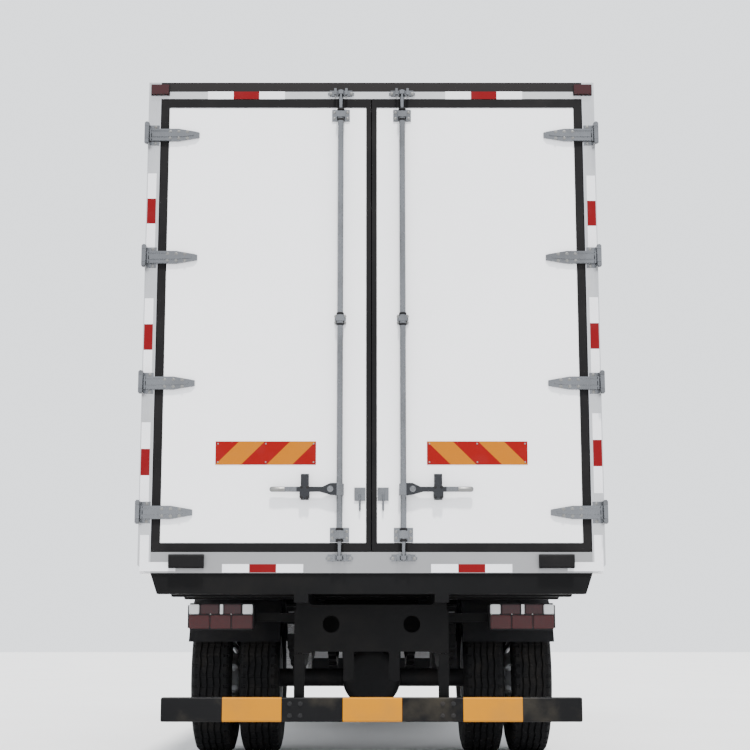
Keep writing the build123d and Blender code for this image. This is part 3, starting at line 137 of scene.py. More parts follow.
def bump(tree, shader, height, strength, distance=0.001):
    node = add(tree, "ShaderNodeBump")
    node.inputs["Strength"].default_value = strength
    node.inputs["Distance"].default_value = distance
    link(tree, height, node.inputs["Height"])
    link(tree, node.outputs["Normal"], shader.inputs["Normal"])
    return node


def math_node(tree, operation, a, b=None):
    node = add(tree, "ShaderNodeMath", operation=operation)
    for index, value in enumerate((a, b)):
        if value is None:
            continue
        if isinstance(value, bpy.types.NodeSocket):
            link(tree, value, node.inputs[index])
        else:
            node.inputs[index].default_value = value
    return node.outputs["Value"]


def axis_of(tree, axis):
    coord = add(tree, "ShaderNodeTexCoord")
    split = add(tree, "ShaderNodeSeparateXYZ")
    link(tree, coord.outputs["Object"], split.inputs["Vector"])
    return split.outputs[axis]


def finish(name, colour, rough, metal=0.0, vary=0.06, dirt=None, dirt_scale=3.0, grain=60.0, relief=0.2,
           depth=0.0006, coat=0.0, stretch=(1, 1, 1), spec=None):
    """A surface with slow colour drift, fine grain in its gloss and bump, and dust in patches."""
    mat, tree, shader = new_material(name)
    slow = noise(tree, 1.4, 5.0)
    low = tuple(c * (1 - vary) for c in colour)
    high = tuple(min(1.0, c * (1 + vary)) for c in colour)
    base = ramp(tree, slow, ((0.3, low), (0.7, high)))
    if dirt:
        patches = noise(tree, dirt_scale, 8.0, rough=0.65)
        mask = ramp(tree, patches, ((0.48, grey(0.0)), (0.78, grey(dirt[1]))))
        base = mix(tree, mask, base, dirt[0])
    link(tree, base, shader.inputs["Base Color"])
    fine = noise(tree, grain, 6.0, stretch)
    gloss = ramp(tree, fine, ((0.25, grey(max(0.02, rough - 0.07))), (0.75, grey(min(1.0, rough + 0.09)))))
    link(tree, gloss, shader.inputs["Roughness"])
    shader.inputs["Metallic"].default_value = metal
    if coat:
        shader.inputs["Coat Weight"].default_value = coat
        shader.inputs["Coat Roughness"].default_value = 0.08
    if spec is not None:
        shader.inputs["Specular IOR Level"].default_value = spec
    bump(tree, shader, fine, relief, depth)
    return mat


def srgb(r, g, b):
    """A linear colour from 0..255 display values."""
    out = []
    for value in (r, g, b):
        c = value / 255
        out.append(c / 12.92 if c <= 0.04045 else ((c + 0.055) / 1.055) ** 2.4)
    return tuple(out)


# Materials
FITTING = (0.17, 0.175, 0.185)
FITTING_DIRT = ((0.05, 0.046, 0.042), 0.6)
M = {}
M["panel"] = finish("box_skin", (0.83, 0.83, 0.85), 0.30, vary=0.015, dirt=((0.60, 0.58, 0.54), 0.10),
                    dirt_scale=1.2, grain=240, relief=0.08, depth=0.0004, coat=0.25)
M["stainless"] = finish("stainless", (0.50, 0.50, 0.51), 0.30, metal=1.0, vary=0.07,
                        dirt=((0.30, 0.29, 0.27), 0.3), dirt_scale=2.2, grain=9, relief=0.12, depth=0.0003,
                        stretch=(60, 60, 2))
M["fitting"] = finish("polished_fitting", FITTING, 0.24, metal=1.0, vary=0.14, dirt=FITTING_DIRT,
                      dirt_scale=7, grain=90, relief=0.25, depth=0.0004)
M["rubber"] = finish("black_rubber", (0.0055, 0.0052, 0.0056), 0.66, vary=0.2,
                     dirt=((0.018, 0.016, 0.0155), 0.4), grain=180, relief=0.35, depth=0.0005, spec=0.1)
M["chassis"] = finish("chassis_black", (0.0035, 0.0035, 0.0038), 0.52, vary=0.25,
                      dirt=((0.012, 0.0105, 0.009), 0.45), dirt_scale=2.4, grain=70, relief=0.3,
                      depth=0.0006, spec=0.08)
M["cast"] = finish("cast_metal", (0.014, 0.014, 0.015), 0.6, metal=0.25, vary=0.25,
                   dirt=((0.036, 0.030, 0.025), 0.6), dirt_scale=4, grain=45, relief=0.6, depth=0.0012,
                   spec=0.15)
M["rim"] = finish("rim_silver", (0.42, 0.43, 0.44), 0.38, metal=0.75, vary=0.08,
                  dirt=((0.15, 0.13, 0.11), 0.7), dirt_scale=6, grain=120, relief=0.15, depth=0.0004)
M["alu"] = finish("tank_aluminium", (0.58, 0.585, 0.59), 0.28, metal=1.0, vary=0.06,
                  dirt=((0.25, 0.23, 0.21), 0.5), dirt_scale=3, grain=10, relief=0.15, depth=0.0003,
                  stretch=(2, 50, 50))
M["plastic"] = finish("black_plastic", (0.009, 0.009, 0.010), 0.55, vary=0.15,
                      dirt=((0.030, 0.027, 0.024), 0.5), dirt_scale=3.5, grain=320, relief=0.5,
                      depth=0.0006, spec=0.12)
M["trim"] = finish("cab_trim", (0.075, 0.077, 0.082), 0.62, vary=0.1, dirt=((0.16, 0.15, 0.14), 0.25),
                   grain=420, relief=0.6, depth=0.0005)
M["unit"] = finish("unit_shell", (0.80, 0.81, 0.82), 0.34, vary=0.02, dirt=((0.42, 0.40, 0.36), 0.25),
                   dirt_scale=2.5, grain=260, relief=0.12, depth=0.0005, coat=0.2)
M["steel"] = finish("zinc_bolts", (0.22, 0.22, 0.215), 0.40, metal=1.0, vary=0.15,
                    dirt=((0.12, 0.10, 0.08), 0.5), dirt_scale=30, grain=200, relief=0.3, depth=0.0003)
M["tyre"] = finish("tyre_rubber", (0.0085, 0.0085, 0.009), 0.82, vary=0.25,
                   dirt=((0.032, 0.028, 0.024), 0.55), dirt_scale=5, grain=260, relief=0.5, depth=0.0008,
                   spec=0.1)
M["floor_grp"] = finish("load_floor", (0.42, 0.43, 0.44), 0.55, vary=0.08, dirt=((0.2, 0.18, 0.16), 0.4),
                        grain=200, relief=0.5, depth=0.0008)


def banded(name, axis, bands, rough, metal=0.0, dirt=None, relief=0.2, grain=120, spec=0.5):
    """Hard colour bands along one object axis. bands: (from this value on, colour)."""
    mat, tree, shader = new_material(name)
    low = bands[0][0]
    high = bands[-1][0] + 1.0
    value = math_node(tree, "SUBTRACT", axis_of(tree, axis), low)
    value = math_node(tree, "DIVIDE", value, high - low)
    stops = [(max(0.0, (place - low) / (high - low)), colour) for place, colour in bands]
    base = ramp(tree, value, stops, "CONSTANT")
    drift = noise(tree, 2.0, 6.0)
    base = mix(tree, ramp(tree, drift, ((0.3, grey(0.0)), (0.8, grey(0.14)))), base, (0.02, 0.02, 0.02))
    if dirt:
        patch = noise(tree, 4.0, 8.0)
        base = mix(tree, ramp(tree, patch, ((0.5, grey(0.0)), (0.8, grey(dirt[1])))), base, dirt[0])
    link(tree, base, shader.inputs["Base Color"])
    fine = noise(tree, grain, 6.0)
    link(tree, ramp(tree, fine, ((0.25, grey(rough - 0.06)), (0.75, grey(rough + 0.1)))),
         shader.inputs["Roughness"])
    shader.inputs["Metallic"].default_value = metal
    shader.inputs["Specular IOR Level"].default_value = spec
    bump(tree, shader, fine, relief, 0.0005)
    return mat


GUARD_BLACK = (0.0025, 0.0025, 0.003)
GUARD_YELLOW = (0.40, 0.155, 0.0001)
SEGMENTS = 7
guard_left = GUARD[0][0]
segment = (GUARD[1][0] - guard_left) / SEGMENTS
guard_bands = [(guard_left - 0.01, GUARD_BLACK)]
for i in range(1, SEGMENTS):
    guard_bands.append((guard_left + i * segment, GUARD_YELLOW if i % 2 else GUARD_BLACK))
M["guard"] = banded("guard_stripes", "X", guard_bands, 0.42, dirt=((0.10, 0.085, 0.06), 0.30), relief=0.25,
                    spec=0.1)
SILL_METAL = (0.27, 0.27, 0.275)
HEADER_METAL = (0.50, 0.50, 0.51)
# Painted shade: the dark band below the top lip stands in for the shaded upper face of the header.
HEADER_PAINTED_SHADE = (0.016, 0.0140, 0.0138)
TOP_LIP = (0.52, 0.52, 0.53)
header_bands = [
    (BOX_BOTTOM - 0.1, SILL_METAL), (BOX_TOP - HEADER_H - 0.02, HEADER_METAL),
    (BOX_TOP - 0.070, HEADER_PAINTED_SHADE), (BOX_TOP - 0.010, TOP_LIP),
]
M["header"] = banded("rear_beams", "Z", header_bands, 0.36, metal=0.75, relief=0.15)


def glass_material(name, colour, rough=0.005):
    mat, tree, shader = new_material(name)
    haze = noise(tree, 3.0, 6.0)
    link(tree, ramp(tree, haze, ((0.3, grey(rough)), (0.8, grey(rough + 0.02)))), shader.inputs["Roughness"])
    tint = ramp(tree, noise(tree, 1.0), ((0.2, colour), (0.8, tuple(c * 0.93 for c in colour))))
    link(tree, tint, shader.inputs["Base Color"])
    shader.inputs["Transmission Weight"].default_value = 1.0
    shader.inputs["IOR"].default_value = 1.45
    return mat


M["glass"] = glass_material("cab_glass", (0.74, 0.80, 0.79))
M["clear"] = glass_material("clear_lens", (0.93, 0.94, 0.95), 0.05)


def lens(name, colour, cell=0.012):
    """Moulded lamp lens with small square prisms."""
    mat, tree, shader = new_material(name)
    coord = add(tree, "ShaderNodeTexCoord")
    mapping = add(tree, "ShaderNodeMapping")
    mapping.inputs["Scale"].default_value = (1 / cell,) * 3
    link(tree, coord.outputs["Object"], mapping.inputs["Vector"])
    cells = add(tree, "ShaderNodeTexVoronoi", distance="CHEBYCHEV")
    cells.inputs["Randomness"].default_value = 0.0
    link(tree, mapping.outputs["Vector"], cells.inputs["Vector"])
    shade = ramp(tree, cells.outputs["Distance"],
                 ((0.0, tuple(c * 1.15 for c in colour)), (0.6, tuple(c * 0.6 for c in colour))))
    link(tree, shade, shader.inputs["Base Color"])
    gloss = ramp(tree, noise(tree, 40.0), ((0.2, grey(0.10)), (0.8, grey(0.22))))
    link(tree, gloss, shader.inputs["Roughness"])
    shader.inputs["Coat Weight"].default_value = 0.2
    shader.inputs["Specular IOR Level"].default_value = 0.25
    bump(tree, shader, cells.outputs["Distance"], 0.5, 0.002)
    return mat


M["red_lens"] = lens("red_lens", (0.045, 0.0006, 0.0015))
M["amber_lens"] = lens("amber_lens", (0.42, 0.09, 0.003))
M["white_lens"] = lens("white_lens", (0.72, 0.73, 0.74))


def reflective(name, colour, rough=0.38):
    """Retroreflective sheet with a fine honeycomb."""
    mat, tree, shader = new_material(name)
    coord = add(tree, "ShaderNodeTexCoord")
    mapping = add(tree, "ShaderNodeMapping")
    mapping.inputs["Scale"].default_value = (190, 190, 190)
    link(tree, coord.outputs["Object"], mapping.inputs["Vector"])
    cells = add(tree, "ShaderNodeTexVoronoi", feature="DISTANCE_TO_EDGE")
    cells.inputs["Randomness"].default_value = 0.25
    link(tree, mapping.outputs["Vector"], cells.inputs["Vector"])
    edge = ramp(tree, cells.outputs["Distance"], ((0.0, tuple(c * 0.72 for c in colour)), (0.12, colour)))
    worn = noise(tree, 9.0, 6.0)
    base = mix(tree, ramp(tree, worn, ((0.5, grey(0.0)), (0.85, grey(0.3)))), edge,
               tuple(c * 0.7 + 0.02 for c in colour))
    link(tree, base, shader.inputs["Base Color"])
    gloss = ramp(tree, worn, ((0.2, grey(rough - 0.08)), (0.8, grey(rough + 0.12))))
    link(tree, gloss, shader.inputs["Roughness"])
    shader.inputs["Specular IOR Level"].default_value = 0.12
    bump(tree, shader, cells.outputs["Distance"], 0.25, 0.0004)
    return mat


M["tape_red"] = reflective("tape_red", (0.14, 0.001, 0.003))
M["tape_white"] = reflective("tape_white", srgb(226, 226, 230))
M["board_red"] = reflective("board_red", (0.22, 0.0015, 0.001))
M["board_yellow"] = reflective("board_yellow", (0.40, 0.125, 0.0001))

# Dark red lens; on the corner lamps its darkness is painted shade.
M["dark_lens"] = lens("dark_red_lens_and_shade", (0.032, 0.0015, 0.003), 0.010)


# Cab paint with a dark lower edge and dark mirror heads
CAB_EDGE_Z = 1.045
MIRROR_FROM = 1.2225
CAB_DARK = (0.014, 0.0145, 0.016)


def two_tone(name, light, edge_z, rough=0.22, outside=None):
    """White paint that turns to dark moulding below edge_z, and beyond outside in x."""
    mat, tree, shader = new_material(name)
    drift = ramp(tree, noise(tree, 1.5, 5.0), ((0.3, tuple(c * 0.985 for c in light)), (0.7, light)))
    mask = math_node(tree, "LESS_THAN", axis_of(tree, "Z"), edge_z)
    if outside:
        across = math_node(tree, "ABSOLUTE", axis_of(tree, "X"))
        mask = math_node(tree, "MAXIMUM", mask, math_node(tree, "GREATER_THAN", across, outside))
    base = mix(tree, mask, drift, CAB_DARK)
    road = ramp(tree, axis_of(tree, "Z"), ((0.30, grey(0.0)), (0.95, grey(1.0))))
    patches = ramp(tree, noise(tree, 3.5, 8.0), ((0.45, grey(0.0)), (0.8, grey(0.16))))
    clean = math_node(tree, "SUBTRACT", 1.0, mask)
    patches = math_node(tree, "MULTIPLY", patches, clean)
    base = mix(tree, patches, base, mix(tree, road, (0.10, 0.09, 0.075), (0.52, 0.50, 0.47)))
    link(tree, base, shader.inputs["Base Color"])
    fine = noise(tree, 260.0, 5.0)
    gloss = ramp(tree, fine, ((0.25, grey(rough - 0.04)), (0.75, grey(rough + 0.06))))
    moulded = ramp(tree, fine, ((0.25, grey(0.50)), (0.75, grey(0.62))))
    link(tree, mix(tree, mask, gloss, moulded), shader.inputs["Roughness"])
    shader.inputs["Coat Weight"].default_value = 0.15
    shader.inputs["Coat Roughness"].default_value = 0.08
    shader.inputs["Specular IOR Level"].default_value = 0.3
    bump(tree, shader, fine, 0.05, 0.0003)
    return mat


M["cab"] = two_tone("cab_paint", (0.80, 0.80, 0.81), CAB_EDGE_Z)
M["cab_door"] = two_tone("cab_door_paint", (0.80, 0.80, 0.81), CAB_EDGE_Z, outside=MIRROR_FROM)
M["bumper"] = two_tone("bumper_paint", (0.78, 0.78, 0.79), 0.548)

# Mirrors, bright trim, rails, seals, hose and cloth
M["mirror"] = finish("mirror_glass", (0.82, 0.84, 0.85), 0.03, metal=1.0, vary=0.02, grain=40, relief=0.02,
                     depth=0.0001)
M["chrome"] = finish("bright_trim", (0.66, 0.67, 0.68), 0.12, metal=1.0, vary=0.04,
                     dirt=((0.25, 0.24, 0.22), 0.3), dirt_scale=5, grain=60, relief=0.06, depth=0.0002)
M["rail"] = finish("anodised_rail", (0.33, 0.335, 0.345), 0.30, metal=0.9, vary=0.05,
                   dirt=((0.20, 0.185, 0.165), 0.35), dirt_scale=2.5, grain=12, relief=0.12, depth=0.0003,
                   stretch=(40, 1.5, 40))
M["amber_marker"] = lens("amber_marker", (0.50, 0.11, 0.003), 0.008)
M["seal"] = finish("joint_sealant", (0.55, 0.55, 0.56), 0.5, vary=0.06, dirt=((0.16, 0.15, 0.14), 0.5),
                   dirt_scale=8, grain=90, relief=0.5, depth=0.0008)
M["clear_hose"] = finish("drain_hose", (0.55, 0.55, 0.52), 0.35, vary=0.08, dirt=((0.2, 0.18, 0.15), 0.5),
                         grain=60, relief=0.2, depth=0.0005)
M["blank_plate"] = finish("blank_plate", (0.74, 0.74, 0.73), 0.40, vary=0.03,
                          dirt=((0.30, 0.28, 0.25), 0.4), dirt_scale=6, grain=150, relief=0.1, depth=0.0004)


def woven(name, colour, thread=0.0016):
    """Cloth with crossed threads, a little uneven in colour."""
    mat, tree, shader = new_material(name)
    coord = add(tree, "ShaderNodeTexCoord")
    heights = []
    for direction in ("X", "Z"):
        wave = add(tree, "ShaderNodeTexWave", bands_direction=direction)
        wave.inputs["Scale"].default_value = 0.3142 / thread
        wave.inputs["Distortion"].default_value = 1.2
        link(tree, coord.outputs["Object"], wave.inputs["Vector"])
        heights.append(wave.outputs["Fac"])
    weave = math_node(tree, "MULTIPLY", heights[0], heights[1])
    drift = ramp(tree, noise(tree, 5.0, 6.0),
                 ((0.3, tuple(c * 0.8 for c in colour)), (0.7, tuple(c * 1.2 for c in colour))))
    # Painted shade: the low gaps between the threads are darkened.
    base = mix(tree, ramp(tree, weave, ((0.1, grey(0.45)), (0.8, grey(0.0)))), drift,
               tuple(c * 0.4 for c in colour))
    link(tree, base, shader.inputs["Base Color"])
    link(tree, ramp(tree, weave, ((0.0, grey(0.92)), (1.0, grey(0.78)))), shader.inputs["Roughness"])
    shader.inputs["Sheen Weight"].default_value = 0.35
    bump(tree, shader, weave, 0.6, 0.0008)
    return mat


M["cloth"] = woven("seat_weave", (0.045, 0.055, 0.080))
M["cloth_side"] = woven("seat_side_cloth", (0.020, 0.021, 0.024))
M["dial"] = finish("dial_face", (0.010, 0.010, 0.011), 0.35, vary=0.1, grain=200, relief=0.05, depth=0.0002)
M["mark"] = finish("dial_marks", (0.70, 0.70, 0.68), 0.4, vary=0.03, grain=200, relief=0.05, depth=0.0002)


# Painted dark reflection: the lever and catch are coloured darker than the rest of the fitting metal.
LEVER_PAINTED_REFLECTION = (0.040, 0.041, 0.044)
LEVER_FROM = ROD_X + 0.016
LEVER_TO = ROD_X + 0.240
LEVER_HALF = 0.100


def lock_gear_metal():
    """The door fitting metal, with a painted dark reflection on the lever and its catch."""
    mat = finish("lock_gear_metal", FITTING, 0.24, metal=1.0, vary=0.14, dirt=FITTING_DIRT)
    tree = mat.node_tree
    shader = next(node for node in tree.nodes if node.type == "BSDF_PRINCIPLED")
    bright = shader.inputs["Base Color"].links[0].from_socket
    lift = math_node(tree, "ABSOLUTE", math_node(tree, "SUBTRACT", axis_of(tree, "Z"), HANDLE_Z))
    across = math_node(tree, "ABSOLUTE", axis_of(tree, "X"))
    inside = math_node(tree, "GREATER_THAN", across, LEVER_FROM)
    outside = math_node(tree, "LESS_THAN", across, LEVER_TO)
    mask = math_node(tree, "MULTIPLY", math_node(tree, "LESS_THAN", lift, LEVER_HALF), inside)
    mask = math_node(tree, "MULTIPLY", mask, outside)
    link(tree, mix(tree, mask, bright, LEVER_PAINTED_REFLECTION), shader.inputs["Base Color"])
    return mat


M["lock_gear"] = lock_gear_metal()

NODE_MATERIALS = {
    "box_side_walls": "panel", "box_front_wall": "panel", "box_roof": "panel", "box_floor": "floor_grp",
    "cargo_door_left": "panel", "cargo_door_right": "panel", "rear_posts": "stainless",
    "rear_header_and_sill": "header", "rear_frame_fittings": "fitting", "rear_buffers": "rubber",
    "door_gasket_left": "rubber", "door_gasket_right": "rubber", "door_hardware_left": "lock_gear",
    "door_hardware_right": "lock_gear", "frame_rails": "chassis", "frame_crossmembers": "chassis",
    "floor_beams": "chassis", "underrun_guard": "guard", "tail_lamps": "plastic",
    "rear_mudguards": "plastic", "front_axle": "cast", "rear_axle": "cast", "leaf_springs": "chassis",
    "knuckle_left": "cast", "knuckle_right": "cast", "tie_rod": "cast", "fuel_tank": "alu",
    "battery_and_air_tanks": "plastic", "side_guards": "alu", "powertrain": "cast",
    "front_mudguards": "plastic", "front_bumper": "bumper", "headlamps": "white_lens",
    "cab_front": "cab", "cab_roof": "cab", "cab_back": "cab", "cab_sides": "cab",
    "cab_door_left": "cab_door", "cab_door_right": "cab_door", "door_glass_left": "glass",
    "door_glass_right": "glass", "windscreen": "glass", "cab_floor": "chassis", "cab_interior": "trim",
    "steering_wheel": "trim", "cab_mounts": "cast", "cab_grille": "plastic",
    "refrigeration_unit": "unit", "unit_grille": "plastic", "rim_front_left": "rim",
    "rim_front_right": "rim", "rims_rear_left": "rim", "rims_rear_right": "rim",
    "tyre_front_left": "tyre", "tyre_front_right": "tyre", "tyres_rear_left": "tyre",
    "tyres_rear_right": "tyre",
}
for node_name, material in NODE_MATERIALS.items():
    mesh = frame["nodes"][node_name].data
    if not mesh.materials:
        mesh.materials.append(M[material])
    for index in range(len(mesh.materials)):
        mesh.materials[index] = M[material]


# Camera, lights and floor
FOCAL_PX = 1530.0
FRAME_PX = 750.0
CENTRE_PX = 371.5
PITCH = math.radians(9.64)
CAMERA_BACK = 8.546
CAMERA_HIGH = 0.802
SENSOR_MM = 36.0
SUN_STRENGTH = 6.6
SUN_SPREAD = math.radians(4)
SUN_COLOUR = (1.0, 0.985, 0.96)
SUN_AIM = Vector((-0.05, 0.40, -0.91))
SKY_COLOUR = (0.93, 0.96, 1.0, 1)
SKY_STRENGTH = 1.95
FLOOR_REACH = 60.0
FLOOR_TONES = ((0.3, (0.66, 0.66, 0.66)), (0.7, (0.69, 0.69, 0.69)))


def studio():
    camera_data = bpy.data.cameras.new("camera")
    camera_data.sensor_width = SENSOR_MM
    camera_data.lens = SENSOR_MM * FOCAL_PX / FRAME_PX
    camera_data.shift_x = (FRAME_PX / 2 - CENTRE_PX) / FRAME_PX
    camera = bpy.data.objects.new("camera", camera_data)
    camera.location = (0.0, SKIN_Y - CAMERA_BACK, CAMERA_HIGH)
    camera.rotation_euler = (math.pi / 2 + PITCH, 0, 0)
    bpy.context.collection.objects.link(camera)
    bpy.context.scene.camera = camera
    sun_data = bpy.data.lights.new("sun", "SUN")
    sun_data.energy = SUN_STRENGTH
    sun_data.angle = SUN_SPREAD
    sun_data.color = SUN_COLOUR
    sun = bpy.data.objects.new("sun", sun_data)
    sun.rotation_euler = SUN_AIM.to_track_quat("-Z", "Y").to_euler()
    bpy.context.collection.objects.link(sun)
    world = bpy.data.worlds.new("world")
    bpy.context.scene.world = world
    world.use_nodes = True
    background = world.node_tree.nodes["Background"]
    background.inputs["Color"].default_value = SKY_COLOUR
    background.inputs["Strength"].default_value = SKY_STRENGTH
    floor_mesh = bpy.data.meshes.new("floor")
    corners = [(x * FLOOR_REACH, y * FLOOR_REACH, 0) for x, y in ((-1, -1), (1, -1), (1, 1), (-1, 1))]
    floor_mesh.from_pydata(corners, [], [(0, 1, 2, 3)])
    floor = bpy.data.objects.new("floor", floor_mesh)
    bpy.context.collection.objects.link(floor)
    mat, tree, shader = new_material("studio_floor")
    tone = ramp(tree, noise(tree, 0.6, 4.0), FLOOR_TONES)
    link(tree, tone, shader.inputs["Base Color"])
    shader.inputs["Roughness"].default_value = 0.8
    floor_mesh.materials.append(mat)


studio()


# Mesh helpers
AXES = {"X": Vector((1, 0, 0)), "Y": Vector((0, 1, 0)), "Z": Vector((0, 0, 1))}
REARWARD = (0, -1, 0)
FORWARD = (0, 1, 0)
UPWARD = (0, 0, 1)
SMOOTH = math.radians(38)


class Piece:
    """One named piece: shapes gathered in metres, each with its own material."""

    def __init__(self, name, body, slot=None):
        self.name = name
        self.body = body
        self.slot = slot
        self.bm = bmesh.new()
        self.keys = []

    def take(self, shape, key, place=None):
        """Adds the bmesh shape in the material named key, and frees it."""
        if key not in self.keys:
            self.keys.append(key)
        index = self.keys.index(key)
        for face in shape.faces:
            face.material_index = index
        if place is not None:
            bmesh.ops.transform(shape, matrix=place, verts=shape.verts)
        bmesh.ops.recalc_face_normals(shape, faces=shape.faces)
        mesh = bpy.data.meshes.new("shape")
        shape.to_mesh(mesh)
        shape.free()
        self.bm.from_mesh(mesh)
        bpy.data.meshes.remove(mesh)

    def box(self, low, high, key, bevel=0.0, segments=2, place=None):
        """A box between two opposite corners, in either order along each axis."""
        shape = bmesh.new()
        size = Vector([abs(c) for c in Vector(high) - Vector(low)])
        middle = (Vector(high) + Vector(low)) / 2
        fit = Matrix.Translation(middle) @ Matrix.Diagonal((*size, 1))
        bmesh.ops.create_cube(shape, size=1.0, matrix=fit)
        if bevel:
            bmesh.ops.bevel(shape, geom=shape.edges[:], offset=bevel, segments=segments, affect="EDGES")
        self.take(shape, key, place)

    def block(self, centre, size, key, bevel=0.0, segments=2, place=None):
        half = Vector(size) / 2
        self.box(Vector(centre) - half, Vector(centre) + half, key, bevel, segments, place)

    def outline(self, points, axis, low, high, key, bevel=0.0, place=None):
        """A flat outline pushed along one axis. Points are the other two, in x, y, z order."""
        shape = bmesh.new()
        order = {"X": lambda a, b, c: (c, a, b), "Y": lambda a, b, c: (a, c, b), "Z": lambda a, b,
                 c: (a, b, c)}[axis]
        ring = [shape.verts.new(order(a, b, low)) for a, b in points]
        face = shape.faces.new(ring)
        moved = bmesh.ops.extrude_face_region(shape, geom=[face])
        verts = [item for item in moved["geom"] if isinstance(item, bmesh.types.BMVert)]
        bmesh.ops.translate(shape, vec=AXES[axis] * (high - low), verts=verts)
        if bevel:
            bmesh.ops.bevel(shape, geom=shape.edges[:], offset=bevel, segments=2, affect="EDGES",
                            clamp_overlap=True)
        self.take(shape, key, place)

    def lathe(self, profile, centre, axis, key, steps=40):
        """Profile of (radius, distance along axis) turned about an axis through centre."""
        shape = bmesh.new()
        rings = []
        for radius, along in profile:
            if radius < 1e-6:
                rings.append([shape.verts.new((0, 0, along))])
                continue
            ring = []
            for i in range(steps):
                angle = 2 * math.pi * i / steps
                ring.append(shape.verts.new((radius * math.cos(angle), radius * math.sin(angle), along)))
            rings.append(ring)
        for a, b in zip(rings, rings[1:]):
            for i in range(steps):
                j = (i + 1) % steps
                corners = [a[i % len(a)], a[j % len(a)], b[j % len(b)], b[i % len(b)]]
                face = []
                for vert in corners:
                    if vert not in face:
                        face.append(vert)
                if len(face) > 2:
                    shape.faces.new(face)
        for ring in (rings[0], rings[-1]):
            if len(ring) > 2:
                shape.faces.new(ring)
        turn = Vector(axis).to_track_quat("Z", "Y").to_matrix().to_4x4()
        self.take(shape, key, Matrix.Translation(centre) @ turn)

    def rod(self, a, b, radius, key, steps=20, lip=0.0):
        length = (Vector(b) - Vector(a)).length
        lip = min(lip, radius * 0.6, length * 0.4)
        profile = [(radius, 0.0), (radius, length)]
        if lip:
            profile = [(radius - lip, 0.0), (radius, lip), (radius, length - lip), (radius - lip, length)]
        self.lathe(profile, a, Vector(b) - Vector(a), key, steps)

    def bolt(self, centre, axis, radius=0.009, key="steel", turn=0.0):
        """A hexagon head on its washer."""
        axis = Vector(axis).normalized()
        centre = Vector(centre)
        self.lathe([(radius * 1.55, 0), (radius * 1.55, radius * 0.22), (radius * 1.3, radius * 0.3)],
                   centre, axis, key, 20)
        base = centre + axis * radius * 0.25
        tall = radius * 0.75
        shape = bmesh.new()
        bmesh.ops.create_cone(shape, cap_ends=True, segments=6, radius1=radius * 1.12,
                              radius2=radius * 1.12, depth=tall)
        top = [e for e in shape.edges if all(v.co.z > 0 for v in e.verts)]
        bmesh.ops.bevel(shape, geom=top, offset=radius * 0.16, segments=1, affect="EDGES")
        quat = axis.to_track_quat("Z", "Y").to_matrix().to_4x4()
        spin = Matrix.Rotation(turn, 4, "Z")
        self.take(shape, key, Matrix.Translation(base + axis * tall / 2) @ quat @ spin)

    def rivet(self, centre, axis, radius=0.006, key="steel"):
        profile = [(radius, 0), (radius * 0.85, radius * 0.35), (radius * 0.45, radius * 0.55),
                   (0, radius * 0.6)]
        self.lathe(profile, centre, axis, key, 10)

    def pipe(self, points, radius, key, steps=10, smooth=True):
        """A tube through points, rounded between them."""
        path = [Vector(p) for p in points]
        if smooth and len(path) > 2:
            path = rounded(path)
        shape = bmesh.new()
        rings = []
        side = None
        for i, point in enumerate(path):
            ahead = path[min(i + 1, len(path) - 1)] - path[max(i - 1, 0)]
            ahead.normalize()
            if side is None:
                side = ahead.orthogonal().normalized()
            side = (side - ahead * side.dot(ahead)).normalized()
            up = ahead.cross(side)
            ring = []
            for k in range(steps):
                angle = 2 * math.pi * k / steps
                spot = point + radius * (math.cos(angle) * side + math.sin(angle) * up)
                ring.append(shape.verts.new(spot))
            rings.append(ring)
        for a, b in zip(rings, rings[1:]):
            for k in range(steps):
                shape.faces.new((a[k], a[(k + 1) % steps], b[(k + 1) % steps], b[k]))
        shape.faces.new(rings[0])
        shape.faces.new(rings[-1])
        self.take(shape, key)

    def done(self, smooth=SMOOTH):
        mesh = bpy.data.meshes.new(self.name)
        self.bm.to_mesh(mesh)
        self.bm.free()
        for key in self.keys:
            mesh.materials.append(M[key])
        mesh.shade_smooth()
        mesh.set_sharp_from_angle(angle=smooth)
        obj = bpy.data.objects.new(self.name, mesh)
        bpy.context.collection.objects.link(obj)
        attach(obj, self.body)
        return obj


def rounded(path, steps=5, share=0.42):
    """The path with each inner corner turned into a short curve."""
    out = [path[0]]
    for before, corner, after in zip(path, path[1:], path[2:]):
        reach = share * min((corner - before).length, (after - corner).length)
        start = corner + (before - corner).normalized() * reach
        end = corner + (after - corner).normalized() * reach
        for i in range(steps + 1):
            t = i / steps
            out.append(start * (1 - t) ** 2 + corner * 2 * t * (1 - t) + end * t ** 2)
    out.append(path[-1])
    return out


def sides():
    """(-1, "left") and (1, "right"), as seen from behind."""
    return ((-1, "left"), (1, "right"))


# Rear doors: hazard boards, tape, lamps and fastenings
BOARD_W = 0.565
BOARD_H = 0.132
BOARD_X = 0.594
BOARD_Z = 1.809
BOARD_THICK = 0.0022
STRIPE_PITCH = 0.254
STRIPE_LEAN = 0.236
TAPE = 0.050
TAPE_STEP = 0.150
TAPE_THICK = 0.0007


def clip_band(low, high, width, height, lean):
    """Corners of the slanted band low..high (along the lower edge) inside a width x height plate."""
    corners = [(low, 0.0), (high, 0.0), (high + lean, height), (low + lean, height)]
    for limit, keep_above in ((0.0, True), (width, False)):
        out = []
        for (x0, y0), (x1, y1) in zip(corners, corners[1:] + corners[:1]):
            in0 = x0 >= limit if keep_above else x0 <= limit
            in1 = x1 >= limit if keep_above else x1 <= limit
            if in0:
                out.append((x0, y0))
            if in0 != in1:
                t = (limit - x0) / (x1 - x0)
                out.append((limit, y0 + t * (y1 - y0)))
        corners = out
        if not corners:
            return []
    return corners


